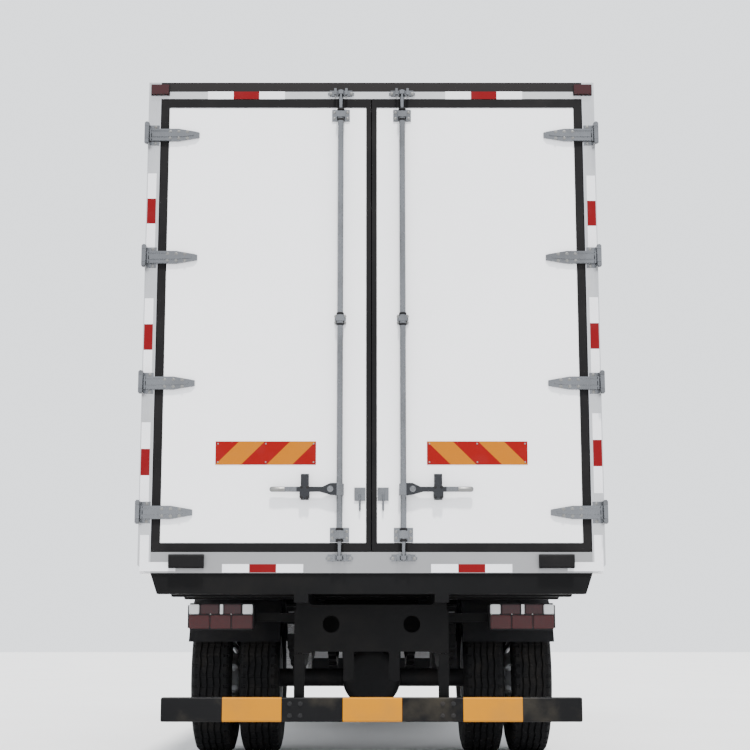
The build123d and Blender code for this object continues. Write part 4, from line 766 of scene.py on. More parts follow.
def hazard_board(side, name):
    """A striped plate, riveted on. The stripes rise inwards and a red corner lies outside."""
    board = Piece("hazard_board_" + name, "cargo_door_" + name)
    outer = side * (BOARD_X + BOARD_W / 2)
    low_z = BOARD_Z - BOARD_H / 2
    front = SKIN_Y
    pitch = STRIPE_PITCH * BOARD_W
    lean = STRIPE_LEAN * BOARD_W
    for i in range(-1, 4):
        corners = clip_band(i * pitch, (i + 1) * pitch, BOARD_W, BOARD_H, lean)
        if len(corners) < 3:
            continue
        points = [(outer - side * x, low_z + z) for x, z in corners]
        board.outline(points, "Y", front - BOARD_THICK, front, "board_yellow" if i % 2 == 0 else "board_red")
    margin = 0.014
    for x in (margin, BOARD_W / 2, BOARD_W - margin):
        for z in (margin, BOARD_H - margin):
            board.rivet((outer - side * x, front - BOARD_THICK, low_z + z), REARWARD, 0.005)
    board.done()


def tape_strip(piece, start, colours, along, width, surface, axis="X"):
    """Reflective tape in steps. along is the step, surface is y of the face it lies on."""
    for i, key in enumerate(colours):
        if axis == "X":
            low = (start[0] + i * along, surface - TAPE_THICK, start[1] - width / 2)
            high = (start[0] + (i + 1) * along, surface, start[1] + width / 2)
        else:
            low = (start[0] - width / 2, surface - TAPE_THICK, start[1] + i * along)
            high = (start[0] + width / 2, surface, start[1] + (i + 1) * along)
        piece.box(low, high, key)


WRW = ("tape_white", "tape_red", "tape_white")
NARROW_TAPE = 0.046
HEADER_TAPE_Z = BOX_TOP - 0.078
HEADER_TAPES = (-0.956, 0.431)
SILL_TAPE_Z = BOX_BOTTOM + 0.026
SILL_TAPES = (-0.829, 0.331)
POST_REDS = {-1: (3.213, 2.473, 1.758), 1: (3.200, 2.479, 1.809)}
POST_MARGIN = 0.012
CORNER_ARM = 0.200
CORNER_LAMP_W = 0.110
CORNER_LAMP_H = 0.068


def rear_tape():
    tape = Piece("rear_marking_tape", "chassis")
    for starts, z in ((HEADER_TAPES, HEADER_TAPE_Z), (SILL_TAPES, SILL_TAPE_Z)):
        for start in starts:
            tape_strip(tape, (start, z), WRW, TAPE_STEP, NARROW_TAPE, SKIN_Y)
    for side, _ in sides():
        x = side * (HALF - 0.030)
        for centre in POST_REDS[side]:
            tape_strip(tape, (x, centre - 1.5 * TAPE_STEP), WRW, TAPE_STEP, TAPE, SKIN_Y, "Z")
        edge = side * (HALF - POST_MARGIN)
        inner = side * (HALF - POST_MARGIN - CORNER_ARM)
        low_z = BOX_BOTTOM + 0.010
        tape.box((edge, SKIN_Y - TAPE_THICK, low_z), (inner, SKIN_Y, low_z + TAPE), "tape_white")
        inner = side * (HALF - POST_MARGIN - TAPE)
        tape.box((edge, SKIN_Y - TAPE_THICK, low_z + TAPE), (inner, SKIN_Y, low_z + CORNER_ARM),
                 "tape_white")
    tape.done()


def corner_lamps():
    """Red marker lamps at the upper corners, on thin black bases, their lenses darkened as painted shade."""
    width, height = CORNER_LAMP_W, CORNER_LAMP_H
    for side, name in sides():
        lamp = Piece("corner_lamp_" + name, "chassis", "lamp")
        x = side * (HALF - POST_MARGIN - width / 2)
        z = BOX_TOP - 0.012 - height / 2
        lamp.block((x, SKIN_Y - 0.003, z), (width, 0.006, height), "plastic", 0.002)
        lamp.block((x, SKIN_Y - 0.011, z), (width - 0.008, 0.016, height - 0.008), "dark_lens", 0.004, 3)
        lamp.done()


for rear_side, rear_name in sides():
    hazard_board(rear_side, rear_name)
rear_tape()
corner_lamps()


HINGE_STEP = 0.7306667
STRAP_SCREWS = (0.055, 0.105, 0.155)
STRAP_SCREW_LIFT = 0.019
CATCH_FROM_ROD = 0.195
GRIP_FROM_ROD = 0.305
HINGE_Z = [DOOR_R[0][2] + 0.169 + i * HINGE_STEP for i in range(4)]
PIN_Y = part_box("rear_frame_fittings")[0][1] + 0.014
GUIDE_SCREWS = ((DOOR_R[0][2] + 0.044, 0.040), ((DOOR_R[0][2] + DOOR_R[1][2]) / 2 + 0.002, 0.0265),
                (DOOR_R[1][2] - 0.049, 0.038))
KEEPER_MIDS = (BOX_BOTTOM + SILL - 0.033, BOX_TOP - HEADER_H + 0.031)


def hinge_fastenings():
    """Screws through each strap and each bracket."""
    front = SKIN_Y - 0.014
    for side, name in sides():
        screws = Piece("hinge_screws_" + name, "cargo_door_" + name)
        pins = Piece("hinge_pin_caps_" + name, "chassis")
        for z in HINGE_Z:
            for inset in STRAP_SCREWS:
                for lift in (-STRAP_SCREW_LIFT, STRAP_SCREW_LIFT):
                    spot = (side * (HALF - 0.075 - inset), front, z + lift)
                    screws.bolt(spot, REARWARD, 0.0065, turn=random.random())
            for lift in (-1, 1):
                pins.lathe([(0.010, 0), (0.010, 0.004), (0.006, 0.007), (0, 0.0075)],
                           (side * HALF, PIN_Y, z + lift * 0.0602), (0, 0, lift), "fitting", 20)
                spot = (side * (HALF - 0.045), SKIN_Y - 0.005, z + lift * 0.049)
                pins.bolt(spot, REARWARD, 0.006, turn=random.random())
        screws.done()
        pins.done()


def rod_fastenings():
    """Screws of the rod guides, keepers and catch, with ferrules round the rod and a grip on the lever."""
    rod_y = SKIN_Y - 0.024
    for side, name in sides():
        door = Piece("lock_screws_" + name, "cargo_door_" + name)
        for z, half in GUIDE_SCREWS:
            for across in (-half, half):
                for lift in (-0.018, 0.018):
                    door.bolt((side * (ROD_X + across), SKIN_Y - 0.006, z + lift), REARWARD, 0.0055,
                              turn=random.random())
            for lift in (-1, 1):
                door.lathe([(0.0165, 0), (0.0215, 0.003), (0.0215, 0.011), (0.0172, 0.014)],
                           (side * ROD_X, rod_y, z + lift * 0.024), (0, 0, lift), "plastic", 24)
        middle = side * (ROD_X + CATCH_FROM_ROD)
        for lift in (-0.044, 0.012):
            for across in (-0.017, 0.017):
                door.bolt((middle + across, rod_y - 0.020, HANDLE_Z + lift), REARWARD, 0.005, "cast",
                          random.random())
        door.bolt((side * (ROD_X + 0.052), rod_y - 0.016, HANDLE_Z + 0.003), REARWARD, 0.011, "fitting", 0.3)
        door.lathe([(0.012, 0), (0.0135, 0.004), (0.0135, 0.075), (0.010, 0.080)],
                   (side * (ROD_X + GRIP_FROM_ROD), rod_y - 0.009, HANDLE_Z + 0.001), (side, 0, 0), "steel",
                   20)
        door.done()
        frame_side = Piece("keeper_screws_" + name, "chassis")
        for z in KEEPER_MIDS:
            for across in (-0.058, 0.058):
                frame_side.bolt((side * (ROD_X + across * 1.02), SKIN_Y - 0.008, z - 0.003), REARWARD,
                                0.006, turn=random.random())
        frame_side.done()


hinge_fastenings()
rod_fastenings()


# Tail lamps: red panes in a dark housing, with dark and white panes above
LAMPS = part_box("tail_lamps")
LAMP_IN = 0.694
LAMP_OUT = LAMPS[1][0]
LAMP_LOW = LAMPS[0][2]
LAMP_HIGH = LAMPS[1][2]
LAMP_REAR = LAMPS[0][1]
LAMP_RIM = 0.008
RED_TOP = 0.56
UPPER_FROM = 0.60
RED_PANES = ((0.0, 0.325), (0.337, 0.66), (0.672, 1.0))
END_PANE = 0.16
DARK_PANES = ((0.18, 0.47), (0.55, 0.82))
MIDDLE_PANE = (0.485, 0.535)


def tail_lamp(side, name):
    lamp = Piece("tail_lamp_" + name, "chassis", "lamp")
    width = LAMP_OUT - LAMP_IN
    height = LAMP_HIGH - LAMP_LOW
    centre_x = side * (LAMP_IN + LAMP_OUT) / 2
    centre_z = (LAMP_LOW + LAMP_HIGH) / 2
    back = LAMPS[1][1]
    lamp.box((centre_x - width / 2, LAMP_REAR + 0.006, LAMP_LOW), (centre_x + width / 2, back, LAMP_HIGH),
             "plastic", 0.012, 3)

    def pane(left, right, low, high, key, bevel=0.004):
        x0 = centre_x - width / 2 + LAMP_RIM + left * (width - 2 * LAMP_RIM)
        x1 = centre_x - width / 2 + LAMP_RIM + right * (width - 2 * LAMP_RIM)
        z0 = LAMP_LOW + LAMP_RIM + low * (height - 2 * LAMP_RIM)
        z1 = LAMP_LOW + LAMP_RIM + high * (height - 2 * LAMP_RIM)
        lamp.box((x0, LAMP_REAR + 0.001, z0), (x1, LAMP_REAR + 0.012, z1), key, bevel, 3)

    for left, right in RED_PANES:
        pane(left, right, 0.0, RED_TOP, "red_lens")
    outer, inner = (0.0, 1.0 - END_PANE) if side < 0 else (1.0 - END_PANE, 0.0)
    for left in (outer, inner):
        pane(left, left + END_PANE, UPPER_FROM, 1.0, "white_lens")
    pane(*DARK_PANES[0], UPPER_FROM, 1.0, "dark_lens")
    pane(*MIDDLE_PANE, UPPER_FROM, 1.0, "white_lens", 0.002)
    pane(*DARK_PANES[1], UPPER_FROM, 1.0, "dark_lens")
    for x in (-0.46, -0.155, 0.155, 0.46):
        lamp.bolt((centre_x + x * width, LAMP_REAR + 0.007, LAMP_LOW + 0.595 * height), REARWARD, 0.0035,
                  "steel", 0.2)
    for x in (-0.3, 0.3):
        lamp.rod((centre_x + x * width, back - 0.002, centre_z),
                 (centre_x + x * width, back + 0.022, centre_z), 0.012, "steel")
    return lamp.done()


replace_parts(tail_lamp(-1, "left"), "tail_lamps")
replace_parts(tail_lamp(1, "right"), "tail_lamps")


# Tyres with ribs, zigzag grooves and shoulder lugs
AXLE_Z = 0.506
TYRE_R = 0.5055
TYRE_HALF = 0.1375
TREAD_HALF = 0.1135
BEAD_HALF = 0.1077
BEAD_R = 0.2863
FLANGE_TOP = 0.308
GROOVES = (-0.066, -0.022, 0.022, 0.066)
GROOVE_HALF = 0.006
GROOVE_DEEP = 0.013
LUGS = 46
LUG_PARTS = ((0.0, 0), (0.66, 0), (0.71, 1), (0.95, 1))
ZIGZAG = 0.007
TYRE_NODES = {
    "tyre_front_left": "front_left", "tyre_front_right": "front_right",
    "tyres_rear_left": "rear_left", "tyres_rear_right": "rear_right",
}


def arc_points(a, b, c, count):
    """Points on the circle through a, b and c, from a to c."""
    (ax, ay), (bx, by), (cx, cy) = a, b, c
    d = 2 * (ax * (by - cy) + bx * (cy - ay) + cx * (ay - by))
    aa, bb, cc = ax * ax + ay * ay, bx * bx + by * by, cx * cx + cy * cy
    ux = (aa * (by - cy) + bb * (cy - ay) + cc * (ay - by)) / d
    uy = (aa * (cx - bx) + bb * (ax - cx) + cc * (bx - ax)) / d
    radius = math.hypot(ax - ux, ay - uy)
    start = math.atan2(ay - uy, ax - ux)
    turn = math.atan2(cy - uy, cx - ux) - start
    turn = (turn + math.pi) % (2 * math.pi) - math.pi
    angles = [start + turn * i / (count - 1) for i in range(count)]
    return [(ux + radius * math.cos(t), uy + radius * math.sin(t)) for t in angles]


def tyre_section():
    """(across, radius, zigzag share, notch depth) from the right bead over the tread to the left."""
    wall = arc_points((BEAD_HALF, FLANGE_TOP), (TYRE_HALF, TYRE_R - 0.100),
                      (TREAD_HALF + 0.009, TYRE_R - 0.014), 15)
    wall = [(x + (0.0016 if i in (2, 3, 9, 10) else 0.0), r) for i, (x, r) in enumerate(wall)]
    half = [(BEAD_HALF, BEAD_R, 0, 0)] + [(x, r, 0, 0.004 if i > 12 else 0) for i, (x, r) in enumerate(wall)]
    half.append((TREAD_HALF - 0.001, TYRE_R - 0.004, 0, 0.010))
    half.append((TREAD_HALF - 0.006, TYRE_R, 0, 0.009))
    half.append((0.090, TYRE_R, 0, 0.008))
    half.append((0.0855, TYRE_R, 0, 0))
    for groove in (GROOVES[3], GROOVES[2]):
        half.append((groove + GROOVE_HALF, TYRE_R, 1, 0.0 if groove > 0.05 else 0.003))
        half.append((groove + GROOVE_HALF - 0.0015, TYRE_R - GROOVE_DEEP, 1, 0))
        half.append((groove - GROOVE_HALF + 0.0015, TYRE_R - GROOVE_DEEP, 1, 0))
        half.append((groove - GROOVE_HALF, TYRE_R, 1, 0.003))
    mirrored = [(-x, r, -zig, notch) for x, r, zig, notch in reversed(half)]
    return half + mirrored


def tyre_body(piece, x, y):
    section = tyre_section()
    shape = bmesh.new()
    rings = []
    for lug in range(LUGS):
        for part, notch in LUG_PARTS:
            place = lug + part
            angle = 2 * math.pi * place / LUGS
            wave = place % 2
            zig = (0.5 - wave if wave < 1 else wave - 1.5) * ZIGZAG
            ring = []
            for across, radius, share, depth in section:
                r = radius - notch * depth
                spot = (x + across + abs(share) * zig, y + r * math.sin(angle), AXLE_Z + r * math.cos(angle))
                ring.append(shape.verts.new(spot))
            rings.append(ring)
    for a, b in zip(rings, rings[1:] + rings[:1]):
        for i in range(len(section)):
            j = (i + 1) % len(section)
            shape.faces.new((a[i], a[j], b[j], b[i]))
    piece.take(shape, "tyre")


NODE_BODY = {}
for body_name, body_nodes in frame["record"]["behaviour"]["bodies"].items():
    for node_name in body_nodes:
        NODE_BODY[node_name] = body_name


for tyre_node, tyre_name in TYRE_NODES.items():
    low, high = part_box(tyre_node)
    tyre_piece = Piece("tread_" + tyre_name, NODE_BODY[tyre_node])
    axle_y = (low[1] + high[1]) / 2
    mid = (low[0] + high[0]) / 2
    if "rear" in tyre_name:
        spread = (high[0] - low[0]) / 2 - TYRE_HALF
        tyre_body(tyre_piece, mid - spread, axle_y)
        tyre_body(tyre_piece, mid + spread, axle_y)
    else:
        tyre_body(tyre_piece, mid, axle_y)
    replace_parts(tyre_piece.done(math.radians(28)), tyre_node)


# Wheel nuts, hubs and valves
NUT_CIRCLE = 0.158
NUTS = 10
FRONT_DISC = 1.190
REAR_DISC = 0.937
REAR_FLANGE = 1.100
FRONT_Y = (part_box("tyre_front_right")[0][1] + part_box("tyre_front_right")[1][1]) / 2
REAR_Y = (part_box("tyres_rear_right")[0][1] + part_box("tyres_rear_right")[1][1]) / 2


def ring_of(count, radius, x, y, phase=0.0):
    """Places round the axle line through (y, AXLE_Z) at x."""
    out = []
    for i in range(count):
        angle = 2 * math.pi * (i + phase) / count
        out.append(Vector((x, y + radius * math.sin(angle), AXLE_Z + radius * math.cos(angle))))
    return out


def wheel_nuts(piece, side, x, y, stud):
    out = Vector((side, 0, 0))
    for spot in ring_of(NUTS, NUT_CIRCLE, side * x, y, 0.5):
        piece.lathe([(0.024, 0), (0.024, 0.004), (0.020, 0.006)], spot, out, "steel", 18)
        piece.bolt(spot + out * 0.004, out, 0.0165, "steel", random.random())
        piece.rod(spot + out * 0.014, spot + out * stud, 0.010, "steel", 12, 0.002)
    valve = ring_of(NUTS, 0.232, side * (x - 0.004), y, 0.5)[2]
    hub = Vector((valve.x, y, AXLE_Z))
    radial = (valve - hub).normalized()
    stem = [hub + radial * 0.262 - out * 0.05, hub + radial * 0.245 + out * 0.005,
            hub + radial * 0.215 + out * 0.020]
    piece.pipe(stem, 0.0045, "steel", 8)
    piece.rod(hub + radial * 0.220 + out * 0.017, hub + radial * 0.206 + out * 0.025, 0.006, "plastic", 10,
              0.001)


def front_wheel(side, name):
    piece = Piece("wheel_nuts_front_" + name, NODE_BODY["rim_front_" + name])
    out = Vector((side, 0, 0))
    wheel_nuts(piece, side, FRONT_DISC, FRONT_Y, 0.034)
    centre = Vector((side * FRONT_DISC, FRONT_Y, AXLE_Z))
    piece.lathe([(0.1262, 0.0), (0.1262, 0.010), (0.120, 0.016)], centre, out, "rim", 48)
    piece.lathe([(0.088, 0.034), (0.088, 0.040), (0.072, 0.044)], centre, out, "cast", 40)
    piece.lathe([(0.070, 0.062), (0.064, 0.068), (0.030, 0.072), (0, 0.073)], centre, out, "rim", 40)
    for spot in ring_of(8, 0.104, side * (FRONT_DISC + 0.034), FRONT_Y):
        piece.bolt(spot, out, 0.0075, "steel", random.random())
    for spot in ring_of(6, 0.048, side * (FRONT_DISC + 0.0695), FRONT_Y):
        piece.bolt(spot, out, 0.0045, "steel", random.random())
    piece.done()


def rear_wheel(side, name):
    piece = Piece("wheel_nuts_rear_" + name, NODE_BODY["rims_rear_" + name])
    out = Vector((side, 0, 0))
    wheel_nuts(piece, side, REAR_DISC, REAR_Y, 0.040)
    centre = Vector((side * REAR_FLANGE, REAR_Y, AXLE_Z))
    piece.lathe([(0.098, 0.0), (0.098, 0.006), (0.060, 0.012), (0.050, 0.030), (0.020, 0.034), (0, 0.034)],
                centre, out, "cast", 40)
    for spot in ring_of(10, 0.086, side * (REAR_FLANGE + 0.005), REAR_Y):
        piece.bolt(spot, out, 0.009, "steel", random.random())
    piece.done()


for wheel_side, wheel_name in sides():
    front_wheel(wheel_side, wheel_name)
    rear_wheel(wheel_side, wheel_name)


# Chassis bolts and brake pipes
RAIL_X = 0.430
RAIL_LOW = 0.700
RAIL_HIGH = 0.980
RAIL_BOLT_PITCH = 0.24
BRAKE_PIPES = ((0.012, 0.900, 0.006), (0.012, 0.880, 0.006), (0.013, 0.858, 0.008))
PIPE_FRONT = 0.95
CLIP_PITCH = 0.45


def chassis_bolts():
    piece = Piece("chassis_bolts", "chassis")
    low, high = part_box("frame_rails")
    start = low[1] + 0.12
    count = int((high[1] - start - 0.1) / RAIL_BOLT_PITCH)
    for side, _ in sides():
        out = Vector((side, 0, 0))
        for i in range(count):
            y = start + i * RAIL_BOLT_PITCH
            for z in (RAIL_LOW + 0.055, RAIL_HIGH - 0.055):
                if i % 3 != 1:
                    piece.bolt((side * RAIL_X, y, z), out, 0.0085, "cast", random.random())
    rear = GUARD[0][1]
    for side, _ in sides():
        for x in (0.40, 0.46):
            for z in (GUARD[0][2] + 0.035, GUARD[1][2] - 0.035):
                piece.bolt((side * x, rear, z), REARWARD, 0.009, "cast", random.random())
    piece.done()


def air_lines():
    """Brake pipes clipped along the outside of the right rail."""
    piece = Piece("brake_lines", "chassis")
    for away, z, radius in BRAKE_PIPES:
        x = RAIL_X + away
        points = [(x, REAR_Y - 0.55, z), (x, REAR_Y + 1.0, z - 0.004), (x, REAR_Y + 2.3, z + 0.003),
                  (x, PIPE_FRONT, z)]
        piece.pipe(points, radius, "plastic", 8)
    y = REAR_Y - CLIP_PITCH
    while y < PIPE_FRONT - 0.05:
        piece.box((RAIL_X, y - 0.010, 0.846), (RAIL_X + 0.024, y + 0.010, 0.912), "steel", 0.003)
        y += CLIP_PITCH
    piece.done()


chassis_bolts()
air_lines()


# Box body: aluminium rails, corner profiles, rivets, marker lamps and side tape
WALL_X = WALLS[1][0]
BOX_FRONT = WALLS[1][1]
BOX_REAR = WALLS[0][1]
RAIL_PLATE = 0.0018
RIVET = 0.0055
RIVET_PITCH = 0.16
LOW_RAIL = 0.130
HIGH_RAIL = 0.085


def steps(low, high, pitch):
    """Even places from low to high, about pitch apart."""
    count = max(1, round((high - low) / pitch))
    return [low + (high - low) * i / count for i in range(count + 1)]


def wall_trim(side, name):
    trim = Piece("box_rails_" + name, "chassis")
    x0 = side * WALL_X
    x1 = side * (WALL_X + RAIL_PLATE)
    out = (side, 0, 0)
    rear = BOX_REAR + 0.004
    front = BOX_FRONT - 0.002
    for z0, z1 in ((BOX_BOTTOM + 0.001, BOX_BOTTOM + LOW_RAIL), (BOX_TOP - HIGH_RAIL, BOX_TOP - 0.001)):
        trim.box((x0, rear, z0), (x1, front, z1), "rail", 0.0006, 1)
        for y in steps(rear + 0.06, front - 0.06, RIVET_PITCH):
            trim.rivet((x1, y, z0 + 0.020), out, RIVET)
            trim.rivet((x1, y + 0.03, z1 - 0.020), out, RIVET)
    trim.box((x0, BOX_FRONT - 0.062, BOX_BOTTOM + LOW_RAIL), (x1, front, BOX_TOP - HIGH_RAIL), "rail",
             0.0006, 1)
    for z in steps(BOX_BOTTOM + 0.20, BOX_TOP - 0.16, RIVET_PITCH):
        trim.rivet((x1, BOX_FRONT - 0.040, z), out, RIVET)
    bead = side * (WALL_X + 0.0012)
    for z in (BOX_BOTTOM + 0.1315, BOX_TOP - 0.0865):
        trim.box((x0, rear, z - 0.002), (bead, front - 0.06, z + 0.002), "seal")
    trim.done()


def side_markers(side, name):
    """Amber lamps and red and white tape along the bottom rail, clear of the open door."""
    marks = Piece("side_markers_" + name, "chassis")
    surface = side * (WALL_X + RAIL_PLATE)
    z = BOX_BOTTOM + 0.066
    for y in steps(BOX_REAR + 1.50, BOX_FRONT - 0.35, 1.45):
        marks.block((surface + side * 0.002, y, z), (0.004, 0.118, 0.044), "plastic", 0.0015)
        marks.block((surface + side * 0.008, y, z), (0.015, 0.100, 0.030), "amber_marker", 0.005, 3)
        for across in (-0.053, 0.053):
            marks.rivet((surface + side * 0.004, y + across, z), (side, 0, 0), 0.003)
    for y in steps(BOX_REAR + 0.30, BOX_FRONT - 0.95, 0.725):
        for i, key in enumerate(WRW):
            low = y + (i - 1.5) * 0.100
            marks.box((surface, low, BOX_BOTTOM + 0.098),
                      (surface + side * TAPE_THICK, low + 0.100, BOX_BOTTOM + 0.126), key)
    marks.done()


def front_wall_trim():
    """Corner and edge profiles of the front wall, with their rivets."""
    trim = Piece("front_wall_trim", "chassis")
    y0 = BOX_FRONT
    y1 = BOX_FRONT + RAIL_PLATE
    edge = 0.060
    bars = (
        ((-WALL_X, BOX_BOTTOM), (WALL_X, BOX_BOTTOM + edge)), ((-WALL_X, BOX_TOP - edge), (WALL_X, BOX_TOP)),
        ((-WALL_X, BOX_BOTTOM + edge), (-WALL_X + edge, BOX_TOP - edge)),
        ((WALL_X - edge, BOX_BOTTOM + edge), (WALL_X, BOX_TOP - edge)),
    )
    for (x_low, z_low), (x_high, z_high) in bars:
        trim.box((x_low, y0, z_low), (x_high, y1, z_high), "rail", 0.0006, 1)
    for x in steps(-WALL_X + 0.08, WALL_X - 0.08, RIVET_PITCH):
        for z in (BOX_BOTTOM + edge / 2, BOX_TOP - edge / 2):
            trim.rivet((x, y1, z), FORWARD, RIVET)
    for z in steps(BOX_BOTTOM + 0.16, BOX_TOP - 0.16, RIVET_PITCH):
        for x in (-WALL_X + edge / 2, WALL_X - edge / 2):
            trim.rivet((x, y1, z), FORWARD, RIVET)
    for side, _ in sides():
        x = side * (WALL_X - 0.16)
        trim.block((x, y1 + 0.003, BOX_TOP - 0.030), (0.110, 0.006, 0.044), "plastic", 0.002)
        trim.block((x, y1 + 0.010, BOX_TOP - 0.030), (0.094, 0.014, 0.030), "white_lens", 0.005, 3)
    trim.done()


def roof_trim():
    """Roof edge capping and rows of rivets over the roof bows."""
    trim = Piece("roof_edge_trim", "chassis")
    top = BOX_TOP
    for side, _ in sides():
        x0 = side * (WALL_X - 0.055)
        x1 = side * WALL_X
        trim.box((x0, BOX_REAR + 0.16, top - 0.0004), (x1, BOX_FRONT, top + 0.0003), "rail", 0.0002, 1)
        for y in steps(BOX_REAR + 0.25, BOX_FRONT - 0.08, RIVET_PITCH):
            trim.rivet((side * (WALL_X - 0.030), y, top - 0.0024), UPWARD, RIVET)
    for y in steps(BOX_REAR + 0.95, BOX_FRONT - 0.75, 1.2):
        trim.box((-WALL_X + 0.056, y - 0.030, top), (WALL_X - 0.056, y + 0.030, top + 0.0003), "seal",
                 0.0002, 1)
        for x in steps(-WALL_X + 0.10, WALL_X - 0.10, 0.15):
            trim.rivet((x, y, top - 0.0021), UPWARD, 0.005)
    trim.done()


for wall_side, wall_name in sides():
    wall_trim(wall_side, wall_name)
    side_markers(wall_side, wall_name)
front_wall_trim()
roof_trim()


# Refrigeration unit: door seams, latches, vents, hoses and drain
HOSES = ((0.50, 0.017), (0.545, 0.012), (0.585, 0.010))
VENTS = 9
VENT_PITCH = 0.045
SEAM = 0.004
SEAM_INSET = 0.075


def unit_details():
    piece = Piece("unit_details", "chassis")
    low, high = UNIT
    y = high[1]
    for x in (low[0] + SEAM_INSET, high[0] - SEAM_INSET):
        piece.box((x - SEAM / 2, y - 0.001, low[2] + 0.060), (x + SEAM / 2, y + 0.0012, high[2] - 0.060),
                  "plastic")
    for z in (low[2] + 0.058, high[2] - 0.062):
        piece.box((low[0] + SEAM_INSET, y - 0.001, z), (high[0] - SEAM_INSET, y + 0.0012, z + SEAM),
                  "plastic")
    for x in (-0.55, 0.55):
        piece.block((x, y + 0.003, low[2] + 0.030), (0.090, 0.006, 0.034), "plastic", 0.003)
        piece.block((x, y + 0.009, low[2] + 0.030), (0.060, 0.008, 0.016), "fitting", 0.003)
    for side in (-1, 1):
        edge = high[0] if side > 0 else low[0]
        for i in range(VENTS):
            z = low[2] + 0.16 + i * VENT_PITCH
            piece.box((edge, y - 0.30, z), (edge + side * 0.006, y - 0.09, z + 0.020), "plastic", 0.003)
        for z in (low[2] + 0.09, high[2] - 0.16):
            piece.bolt((edge, y - 0.05, z), (side, 0, 0), 0.006, "steel", 0.3)
    for x in (-0.30, 0.0, 0.30):
        piece.bolt((x, y + 0.001, high[2] - 0.040), FORWARD, 0.005, "steel", 0.2)
    wall = BOX_FRONT + RAIL_PLATE
    for x, radius in HOSES:
        points = [(x, wall + 0.055, low[2] + 0.01), (x, wall + 0.050, low[2] - 0.30),
                  (x, wall + 0.030, low[2] - 0.75), (x, wall + 0.030, BOX_BOTTOM - 0.02),
                  (x * 0.80, wall - 0.10, BOX_BOTTOM - 0.09)]
        piece.pipe(points, radius, "rubber", 10)
    for z in steps(BOX_BOTTOM + 0.15, low[2] - 0.45, 0.42):
        piece.box((0.470, wall, z - 0.011), (0.610, wall + 0.040, z + 0.011), "steel", 0.004)
    drain = [(-0.62, wall + 0.05, low[2] + 0.01), (-0.62, wall + 0.04, low[2] - 0.10),
             (-0.66, wall + 0.016, low[2] - 0.30), (-0.66, wall + 0.016, BOX_BOTTOM - 0.05)]
    piece.pipe(drain, 0.009, "clear_hose", 10)
    piece.done()


unit_details()


# Cab outside: screen trim, wipers, handles, mirrors, entry steps, headlamps and bumper
CAB_HALF = 1.200
NOSE_Y = 4.436
SCREEN_BASE = 1.850
SCREEN_LEAN = 0.190 / 0.840
SCREEN_NORMAL = Vector((0, 0.9753, 0.2207))
DOOR_FRONT = 4.186
DOOR_BACK = 3.216
WINDOW_BASE = 1.880
WINDOW_TOP = 2.575
WINDOW_LEAN = 0.2125
MIRROR_IN = 1.278
MIRROR_OUT = 1.422
MIRROR_FACE = 3.9985
MIRROR_GLASSES = ((2.050, 2.300), (2.320, 2.432))
STEP_IN = 1.063
STEP_OUT = 1.187
STEP_BACK = 3.705
STEP_FRONT = 4.211
STEP_TOPS = (0.450, 0.705)
HEADLAMP_IN = 0.692
HEADLAMP_OUT = 1.008
ROOF_LAMPS = (-0.78, -0.39, 0.0, 0.39, 0.78)
FOG_LAMP = (0.850, 0.490)


def on_screen(x, z, lift=0.0):
    """A point on the raked windscreen plane, lifted off it."""
    return Vector((x, NOSE_Y - (z - SCREEN_BASE) * SCREEN_LEAN, z)) + SCREEN_NORMAL * lift


def closed_pipe(piece, points, radius, key, corner, steps=8):
    """A pipe round a closed outline whose corners are rounded by about corner."""
    path = []
    for before, point, after in zip(points[-1:] + points[:-1], points, points[1:] + points[:1]):
        start = point + (before - point).normalized() * corner
        end = point + (after - point).normalized() * corner
        for i in range(7):
            t = i / 6
            path.append(start * (1 - t) ** 2 + point * 2 * t * (1 - t) + end * t ** 2)
    middle = (path[-1] + path[0]) / 2
    piece.pipe([middle] + path + [middle], radius, key, steps, smooth=False)


def cab_front_trim():
    trim = Piece("windscreen_trim", "cab")
    corners = [on_screen(-1.010, 1.910, 0.002), on_screen(1.010, 1.910, 0.002),
               on_screen(0.960, 2.620, 0.002), on_screen(-0.960, 2.620, 0.002)]
    closed_pipe(trim, corners, 0.011, "rubber", 0.085)
    for pivot, tip, low, high in ((-0.25, (-0.60, 1.965), (-0.95, 1.945), (-0.25, 1.985)),
                                  (0.55, (0.20, 1.965), (-0.15, 1.945), (0.55, 1.985))):
        base = on_screen(pivot, 1.872, 0.0)
        trim.lathe([(0.020, 0), (0.020, 0.012), (0.012, 0.024), (0, 0.026)], base, SCREEN_NORMAL, "plastic",
                   20)
        trim.pipe([base + SCREEN_NORMAL * 0.020, on_screen((pivot + tip[0]) / 2, 1.925, 0.036),
                   on_screen(*tip, 0.030)], 0.0055, "plastic", 8)
        trim.rod(on_screen(*low, 0.017), on_screen(*high, 0.017), 0.0055, "plastic", 8)
        trim.rod(on_screen(*low, 0.010), on_screen(*high, 0.010), 0.0030, "rubber", 6)
    for side in (-1, 1):
        centre = Vector((side * 0.980, NOSE_Y, 1.235))
        trim.block(centre, (0.176, 0.016, 0.076), "plastic", 0.006)
        trim.block(centre + Vector((0, 0.010, 0)), (0.160, 0.016, 0.060), "amber_lens", 0.007, 3)
    for z in (1.108, 1.572):
        trim.box((-0.600, NOSE_Y - 0.001, z - 0.004), (0.600, NOSE_Y + 0.010, z + 0.004), "chrome", 0.002)
    trim.box((-1.060, NOSE_Y - 0.002, 1.668), (1.060, NOSE_Y + 0.0015, 1.672), "plastic")
    trim.done()
    lamps = Piece("roof_marker_lamps", "cab")
    for x in ROOF_LAMPS:
        lamps.block((x, 3.900, 2.872), (0.110, 0.070, 0.006), "plastic", 0.002)
        lamps.block((x, 3.900, 2.885), (0.092, 0.054, 0.026), "amber_marker", 0.010, 3)
    lamps.done()


